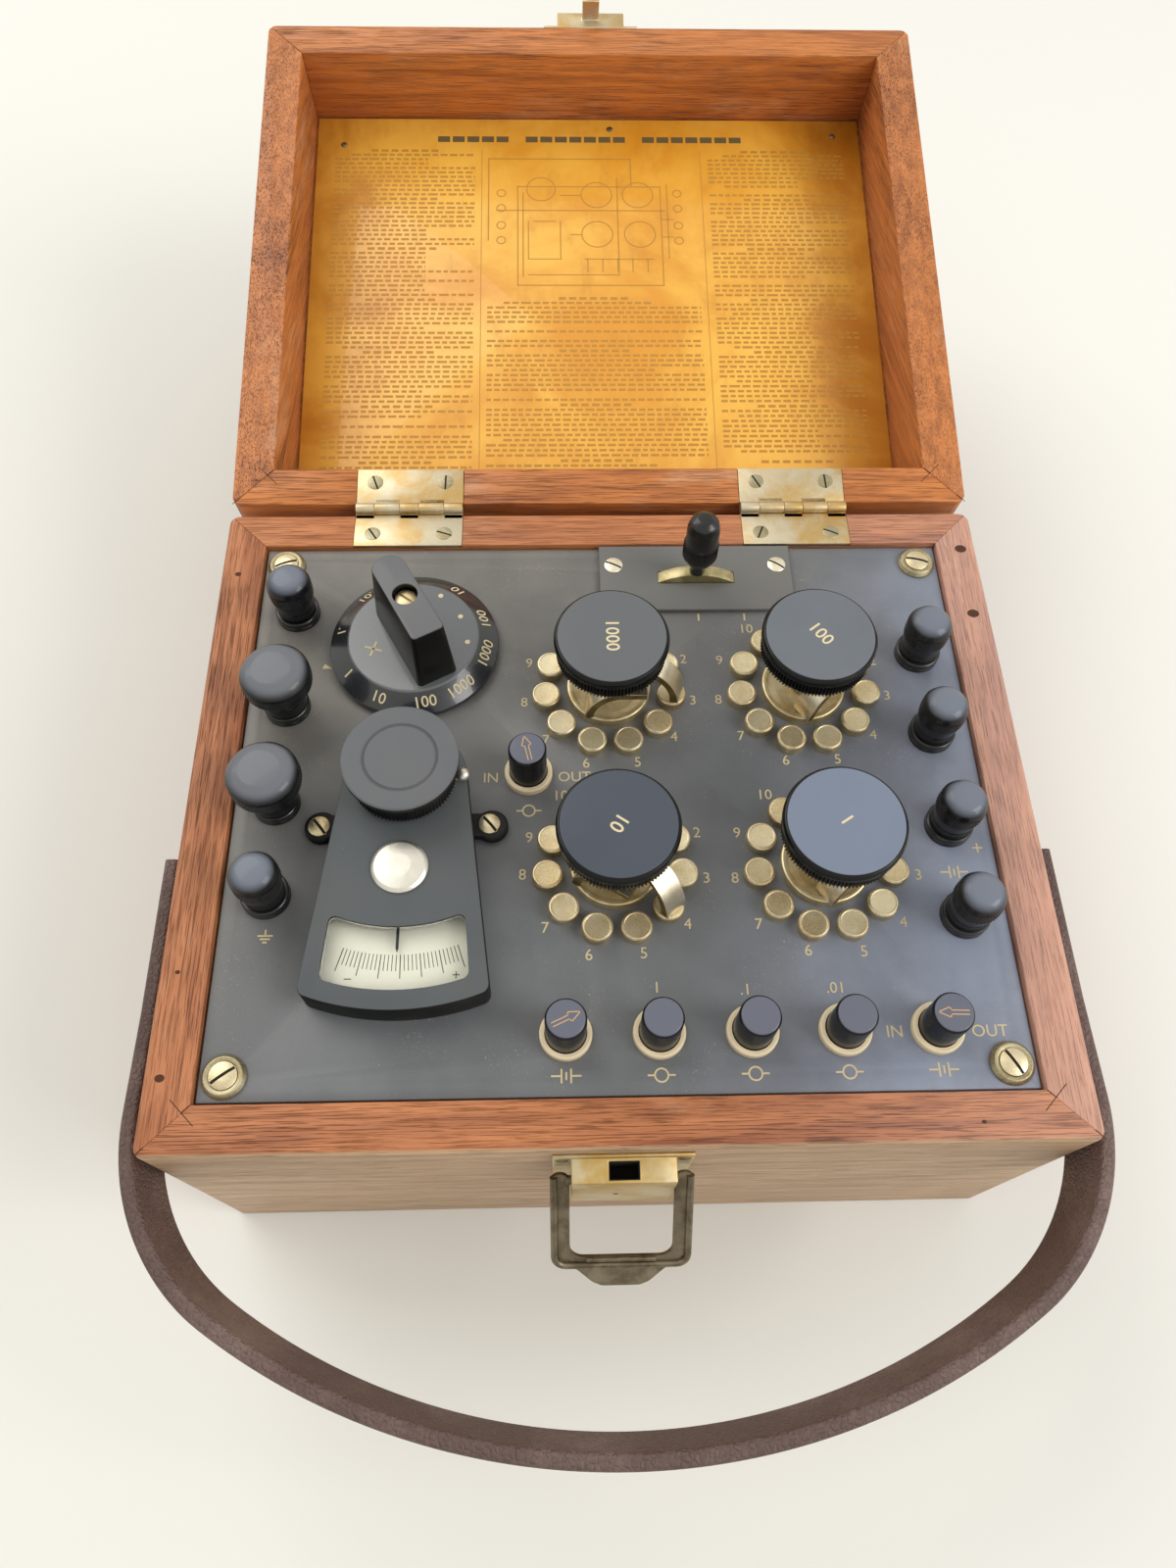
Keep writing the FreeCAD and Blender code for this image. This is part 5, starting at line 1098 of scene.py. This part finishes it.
ball = turned([(0, 0)] + [(1.9 * math.sin(math.radians(a)), 1.6 - 1.6 * math.cos(math.radians(a)))
                          for a in range(15, 180, 15)] + [(0, 3.2)], 32)
piece("clamp_arm", "clamp_lever", "satin",
      [(clamp_arm, galvanometer), (ball, galvanometer @ at(15.9, 0, 10.1))], ("clamp_lever",))


# Keys and turning switches

CAP_RADIUS = 5.2
CAP_TOP = 15
CAP_FOOT = -9.35
cap = turned([(0, CAP_FOOT), (CAP_RADIUS, CAP_FOOT), (CAP_RADIUS, CAP_TOP - 0.7, 0.1),
              (4.75, CAP_TOP - 0.15, 0.3), (4.5, CAP_TOP, 0.2), (0, CAP_TOP)], 48)
key_ring = turned([(5.4, 0), (6.7, 0), (6.7, 1.8, 0.3), (6.3, 2.2, 0.3), (5.4, 2.2)], 48, True)
collars = []
for name, (x, y) in KEYS.items():
    piece(f"{name}_cap", name, "cap", [(cap, at(x, y, PANEL))], (name,))
    collars.append((key_ring, at(x, y, PANEL)))
piece("key_collar_rings", "case", "pale", collars, ("key_collars",))
arrow_line = [(-3.6, -0.5), (0.9, -0.5), (0.9, -1.35), (3.9, 0), (0.9, 1.35), (0.9, 0.5), (-3.6, 0.5)]
strokes = []
for (x, y), (x_next, y_next) in zip(arrow_line, arrow_line[1:]):
    length = math.hypot(x_next - x, y_next - y)
    turn = math.degrees(math.atan2(y_next - y, x_next - x))
    strokes.append((block(length + 0.2, 0.24, CAP_TOP, CAP_TOP + MARK_DEPTH, 0.0),
                    at((x + x_next) / 2, (y + y_next) / 2, 0, turn)))
for name, turn in (("battery_key", 25), ("galvanometer_switch", 103), ("battery_switch", 178)):
    x, y = KEYS[name]
    piece(f"{name}_arrow", name, "arrow",
          [(stroke, at(x, y, PANEL, turn) @ place) for stroke, place in strokes])


# Binding posts

collar = turned([(0, 0), (6.5, 0), (6.5, 0.9, 0.2), (6.2, 1.2, 0.1), (6.5, 1.5, 0.1), (6.5, 2.9, 0.3),
                 (6.1, 3.2, 0.2), (2.4, 3.2), (2.4, 13), (0, 13)], 48)
small_head = turned([(2.5, 3.3), (5.3, 3.3, 0.2), (5.6, 3.8, 0.2), (5.75, 6.2, 0.2), (5.5, 6.6, 0.1),
                     (5.8, 7.0, 0.1), (6.25, 10.4, 0.3), (6.25, 14.6), (6.45, 14.9, 0.15),
                     (6.4, 15.4, 0.3), (5.6, 17.1, 2.0), (4.0, 18.3, 3.0), (0, 18.8), (0, 14), (2.5, 14)],
                    56, True)
wide_head = turned([(2.5, 3.3), (5.8, 3.3, 0.3), (6.2, 4, 0.3), (6.2, 7.6, 0.2), (5.9, 8.0, 0.1),
                    (6.3, 8.5, 0.2), (6.4, 12.4, 0.4), (8.8, 13, 0.4), (9.5, 13.6, 0.3), (9.5, 17.6),
                    (9.7, 17.9, 0.1), (9.6, 18.4, 0.3), (8.2, 20.2, 3.0), (5.5, 21.2, 4.0), (0, 21.6),
                    (0, 14), (2.5, 14)], 72, True)


def knurl(radius, low, high, count, rows):
    """Rows of small diamonds round a band."""
    half = math.pi * radius / count
    rise = (high - low) / rows / 2
    diamond = bmesh.new()
    tip = diamond.verts.new((0, half * 0.7, 0))
    corners = [diamond.verts.new(spot) for spot in ((half, -0.12, 0), (0, -0.12, rise),
                                                    (-half, -0.12, 0), (0, -0.12, -rise))]
    for number in range(4):
        diamond.faces.new((corners[number], corners[(number + 1) % 4], tip))
    diamond.faces.new(list(reversed(corners)))
    bmesh.ops.recalc_face_normals(diamond, faces=diamond.faces)
    mesh = as_mesh(diamond)
    shapes = []
    for row in range(rows * 2 - 1):
        start = 180 / count if row % 2 else 0.0
        shapes.append((ring_of(mesh.copy(), count, radius, start), at(0, 0, low + rise * (row + 1))))
    return shapes


small_knurl = knurl(6.25, 10.6, 14.5, 44, 4)
wide_knurl = knurl(9.5, 13.7, 17.5, 66, 4)
feet = []
for name, (x, y) in POSTS.items():
    wide = name in WIDE_POSTS
    place = at(x, y, PANEL)
    shapes = [(wide_head if wide else small_head, place)]
    shapes += [(ring, place @ lift) for ring, lift in (wide_knurl if wide else small_knurl)]
    piece(f"{name}_head", name, "wide_post" if wide else "post", shapes, (name,))
    feet.append((collar, place))
piece("post_collars", "case", "black", feet, ("post_studs",))


# Figures and marks on the panel

marks = []
DIAL_FIGURES = {
    "thousands": (("2", 22.7, 43.3), ("3", 24.7, 28.9), ("4", 18.5, 16.7), ("5", 7.7, 8.5),
                  ("6", -7, 8.3), ("7", -18.4, 16.1), ("8", -24.6, 28.7), ("9", -23.2, 42.3)),
    "hundreds": (("10", 42.4, 54.1), ("9", 33.5, 42.8), ("8", 32.2, 29.1), ("7", 37.8, 16.8),
                 ("6", 50, 8.6), ("5", 64.9, 8.8), ("4", 76.2, 16.7), ("3", 82.1, 30), ("2", 79.4, 42.1)),
    "tens": (("10", -14.4, -1.9), ("9", -23.1, -14.7), ("8", -24.9, -25.7), ("7", -18.9, -40.9),
             ("6", -7.5, -48.6), ("5", 6.9, -48.3), ("4", 18.9, -40.4), ("3", 24.8, -27.3),
             ("2", 23, -13.8)),
    "units": (("10", 42.8, -2.3), ("9", 34.1, -14), ("8", 32.5, -27.4), ("7", 37.7, -40.7),
              ("6", 50.1, -48.2), ("5", 64.8, -48.7), ("4", 76.4, -40.7), ("3", 82.5, -27.2)),
}
FIGURE_SIZE = 4.4
KEY_FIGURE_SIZE = 4.2
PLUS_SIZE = 6.0
for figures_of_dial in DIAL_FIGURES.values():
    marks += [lettering(text, FIGURE_SIZE, x, y, PANEL + MARK_LIFT) for text, x, y in figures_of_dial]
for text, size, x, y in (("1", KEY_FIGURE_SIZE, 9.8, -57.6), (".1", KEY_FIGURE_SIZE, 32.7, -58.5),
                         (".01", KEY_FIGURE_SIZE, 56.1, -58.4), ("IN", FIGURE_SIZE, 69.7, -70.1),
                         ("OUT", FIGURE_SIZE, 94.1, -70.3), ("IN", FIGURE_SIZE, -33.9, 3.9),
                         ("OUT", FIGURE_SIZE, -10.4, 4.0), ("+", PLUS_SIZE, 100, -19.6)):
    marks.append(lettering(text, size, x, y, PANEL + MARK_LIFT))


def bars(*rectangles):
    """Thin filled rectangles given as middle, width and height."""
    shapes = []
    for x, y, width, height in rectangles:
        shapes.append((block(width, height, 0, MARK_DEPTH, 0.0), at(x, y, PANEL)))
    return shapes


def cell_mark(x, y):
    """The drawn sign of a battery."""
    return bars((x - 2.6, y, 2.4, 0.45), (x - 1.2, y, 0.45, 3.6), (x, y, 0.45, 2), (x + 1.2, y, 0.45, 3.6),
                (x + 2.6, y, 2.4, 0.45))


def meter_mark(x, y):
    """The drawn sign of a meter."""
    ring = flat_ring(1.45, 1.9, MARK_DEPTH, 28)
    return [(ring, at(x, y, PANEL))] + bars((x - 2.7, y, 1.6, 0.45), (x + 2.7, y, 1.6, 0.45))


def earth_mark(x, y):
    return bars((x, y + 1.3, 0.45, 1.6), (x, y + 0.4, 4, 0.45), (x, y - 0.5, 2.6, 0.45),
                (x, y - 1.4, 1.2, 0.45))


marks += cell_mark(-13.8, -79.8) + cell_mark(80.8, -79.8) + cell_mark(92.4, -26.4)
marks += meter_mark(9.9, -80) + meter_mark(33.4, -80) + meter_mark(57, -80) + meter_mark(-23.2, -6.4)
marks += earth_mark(-92, -42.4)
marks += bars((LEVER[0] - 14, 58.6, 0.5, 2.6), (LEVER[0], 58.6, 0.5, 2.6), (LEVER[0] + 14, 58.6, 0.5, 2.6))
marks.append((slab([(-1.6, -0.9), (1.2, 0), (-1.6, 0.9)], 0, MARK_DEPTH), at(-82.3, 41.3, PANEL, -20)))
piece("panel_marks", "case", "fill", marks)


# Printing on the card: a row of bars on top, rows of small bars in three columns, a plain diagram

LID_DEPTH = 28.6
CARD_THICKNESS = 0.8
CARD_Z = LID_RIM + LID_DEPTH - CARD_THICKNESS
PRINT_LEVEL = CARD_Z - 0.05
ROW_PITCH = 2.05
ROW_HEIGHT = 0.95


def card_bars():
    shapes = bmesh.new()

    def bar(x, y, width, height):
        corners = [(x, y), (x + width, y), (x + width, y + height), (x, y + height)]
        shapes.faces.new([shapes.verts.new((a, b, 0)) for a, b in corners])

    columns = ((-97, -44), (-39, 39.5), (45, 97))
    for column, (left, right) in enumerate(columns):
        row = 0
        y = -70.0 if column != 1 else -3.0
        while y < 78:
            jitter = noise.noise(Vector((column * 7.3, y * 0.37, 1.5)))
            if row % 11 == 0:
                middle = (left + right) / 2
                for step in range(7):
                    bar(middle - 13 + step * 3.8, y, 2.6, 1.1)
            elif jitter < 0.42:
                x = left + (6 if row % 7 == 1 else 0)
                end = right - (18 if jitter > 0.25 else 0)
                while x < end:
                    width = 1.6 + 3.2 * abs(noise.noise(Vector((x * 0.9, y * 1.7, column))))
                    bar(x, y, min(width, end - x), ROW_HEIGHT)
                    x += width + 0.9
            y += ROW_PITCH
            row += 1
    for x, y, width, height in ((-28, -53, 54, 0.45), (-28, -53, 0.45, 45), (26, -53, 0.45, 45),
                                (-28, -8.4, 54.4, 0.45), (-39, -66, 54, 0.45), (-39, -66, 0.45, 38),
                                (15, -66, 0.45, 13), (-36, -42, 64, 0.45), (9.6, -57, 0.45, 44),
                                (-12, -49, 8, 0.45), (-8, -31, 4, 0.45), (-26, -50, 0.45, 38),
                                (-22, -37, 8.6, 0.4), (-24, -20, 12.6, 0.4), (-24, -37, 0.4, 17),
                                (-12, -37, 0.4, 17), (-3, -20, 26, 0.4), (-24, -13, 34, 0.4),
                                (28.5, -54, 0.4, 34), (26, -30, 5, 0.4), (26, -38, 5, 0.4)):
        bar(x, y, width, height)
    for step in range(5):
        bar(-2 + step * 5.6, -20, 0.4, 6)
    for left in (-41.5, 42):
        bar(left, -70, 0.25, 148)
    bmesh.ops.recalc_face_normals(shapes, faces=shapes.faces)
    return shapes


card_marks = [(card_bars(), OPEN_LID @ at(0, 0, CARD_Z - MARK_DEPTH))]
circles = [(2, -49, 6), (17.6, -49, 6), (2, -31, 6), (18, -31, 6), (-19, -51.6, 5.6)]
circles += [(x, y, 1.8) for x in (-34, 32.6) for y in (-49.7, -42.8, -35, -28.2)]
for x, y, radius in circles:
    card_marks.append((flat_ring(radius - 0.4, radius, 0.03, 32), OPEN_LID @ at(x, y, PRINT_LEVEL)))
piece("card_printing", "lid", "ink", card_marks)
title_bar = block(4.6, 2.7, 0, MARK_DEPTH, 0.0)
title = [(title_bar, OPEN_LID @ at(-56 + step * 5.6, -75, PRINT_LEVEL)) for step in range(21)
         if step not in (5, 13)]
piece("card_title", "lid", "title", title)
tack = turned([(0, 0), (1.3, 0, 0.2), (1.0, 0.45, 0.3), (0, 0.6)], 20)
tacks = [(tack, OPEN_LID @ at(x, y, CARD_Z) @ UPSIDE_DOWN)
         for x, y in ((-94, -72), (7.7, -80), (94, -77), (-96, 78), (96, 78), (0, 81))]
piece("card_tacks", "lid", "steel", tacks)


# Inside the case

spool = turned([(0, 0), (5.5, 0, 0.2), (5.5, 1.5, 0.2), (4.6, 1.7), (4.6, 26.3), (5.5, 26.5, 0.2),
                (5.5, 28, 0.2), (0, 28)], 24)
under = PANEL - PANEL_THICKNESS
spools = [(ring_of(spool, 5, CONTACT_CIRCLE), at(x, y, under - 28)) for x, y, *_ in DIALS.values()]
piece("wound_spools", "case", "winding", spools, ("resistance_spools",))
cell = turned([(0, 0), (16, 0, 0.8), (16, 48, 0.8), (15.2, 48.6, 0.3), (3, 48.6, 0.3), (3, 50, 0.4),
               (0, 50)], 40)
piece("dry_cells", "case", "jacket",
      [(cell, at(x, 50.6, 8)) for x in (-60, -20, 20, 60)], ("battery_cells",))
horseshoe = rounded([(-20, 20, 1), (-20, -26, 19.5), (20, -26, 19.5), (20, 20, 1), (7, 20, 1),
                     (7, -19, 6.5), (-7, -19, 6.5), (-7, 20, 1)], steps=12)
piece("horseshoe_magnet", "case", "magnet",
      [(slab(horseshoe, -18, 0, 0.5), at(*PIVOT, under))], ("galvanometer_magnet",))
worked("key_blades", "case", "brass", 0.1)


# Floor, light and camera

floor_finish = Finish("pale_floor", tone(236, 236, 230), 0.9)
floor_cloud = floor_finish.cloud(floor_finish.here, 3.0)
floor_tones = (tone(232, 231, 224), tone(226, 225, 217))
floor_finish.set("Base Color", floor_finish.mix(floor_cloud * 0.3, *floor_tones))
bpy.ops.mesh.primitive_plane_add(size=8, location=(0, 0, -0.0002))
floor = bpy.context.object
floor.name = "floor"
floor.data.materials.append(floor_finish.material)

world = bpy.context.scene.world or bpy.data.worlds.new("studio")
bpy.context.scene.world = world
world.use_nodes = True
sky = world.node_tree
sky.nodes.clear()


def background(colour, strength):
    return add_node(sky, "ShaderNodeBackground", {"Color": colour, "Strength": strength}).outputs[0]


def either(first, second):
    """1 for a ray of the first or of the second kind."""
    return add_node(sky, "ShaderNodeMath", {0: first, 1: second}, operation="MAXIMUM").outputs[0]


rays = add_node(sky, "ShaderNodeLightPath").outputs
seen_rays = either(either(rays["Is Camera Ray"], rays["Is Glossy Ray"]), rays["Is Transmission Ray"])
room = background((1.0, 0.99, 0.97, 1.0), 0.74)
backdrop = background(tone(240, 239, 232), 1.0)
choice = add_node(sky, "ShaderNodeMixShader", {0: seen_rays, 1: room, 2: backdrop})
add_node(sky, "ShaderNodeOutputWorld", {"Surface": choice.outputs[0]})


CASE_MIDDLE = Vector((0, 0, 0.08))


def lamp(name, place, size, power, colour):
    """An area lamp aimed at the case."""
    data = bpy.data.lights.new(name, "AREA")
    data.size = size
    data.energy = power
    data.color = colour
    thing = bpy.data.objects.new(name, data)
    thing.location = place
    thing.rotation_euler = (CASE_MIDDLE - Vector(place)).to_track_quat("-Z", "Y").to_euler()
    bpy.context.scene.collection.objects.link(thing)


lamp("window_light", (1.3, -0.5, 1.2), 0.9, 15, (1.0, 1.0, 1.0))
lamp("room_light", (-0.9, 0.9, 1.4), 1.2, 12, (1.0, 0.98, 0.94))

SENSOR = 36
LENS = 26.28
CAMERA_PLACE = (-0.0154, -0.1465, 0.38384)
CAMERA_TURNS = (27.476, -1.108, -1.26)
camera_data = bpy.data.cameras.new("camera")
camera_data.sensor_width = SENSOR
camera_data.lens = LENS
camera = bpy.data.objects.new("camera", camera_data)
camera.location = CAMERA_PLACE
camera.rotation_euler = [math.radians(turn) for turn in CAMERA_TURNS]
bpy.context.scene.collection.objects.link(camera)
bpy.context.scene.camera = camera
bpy.context.scene.view_settings.view_transform = "Standard"
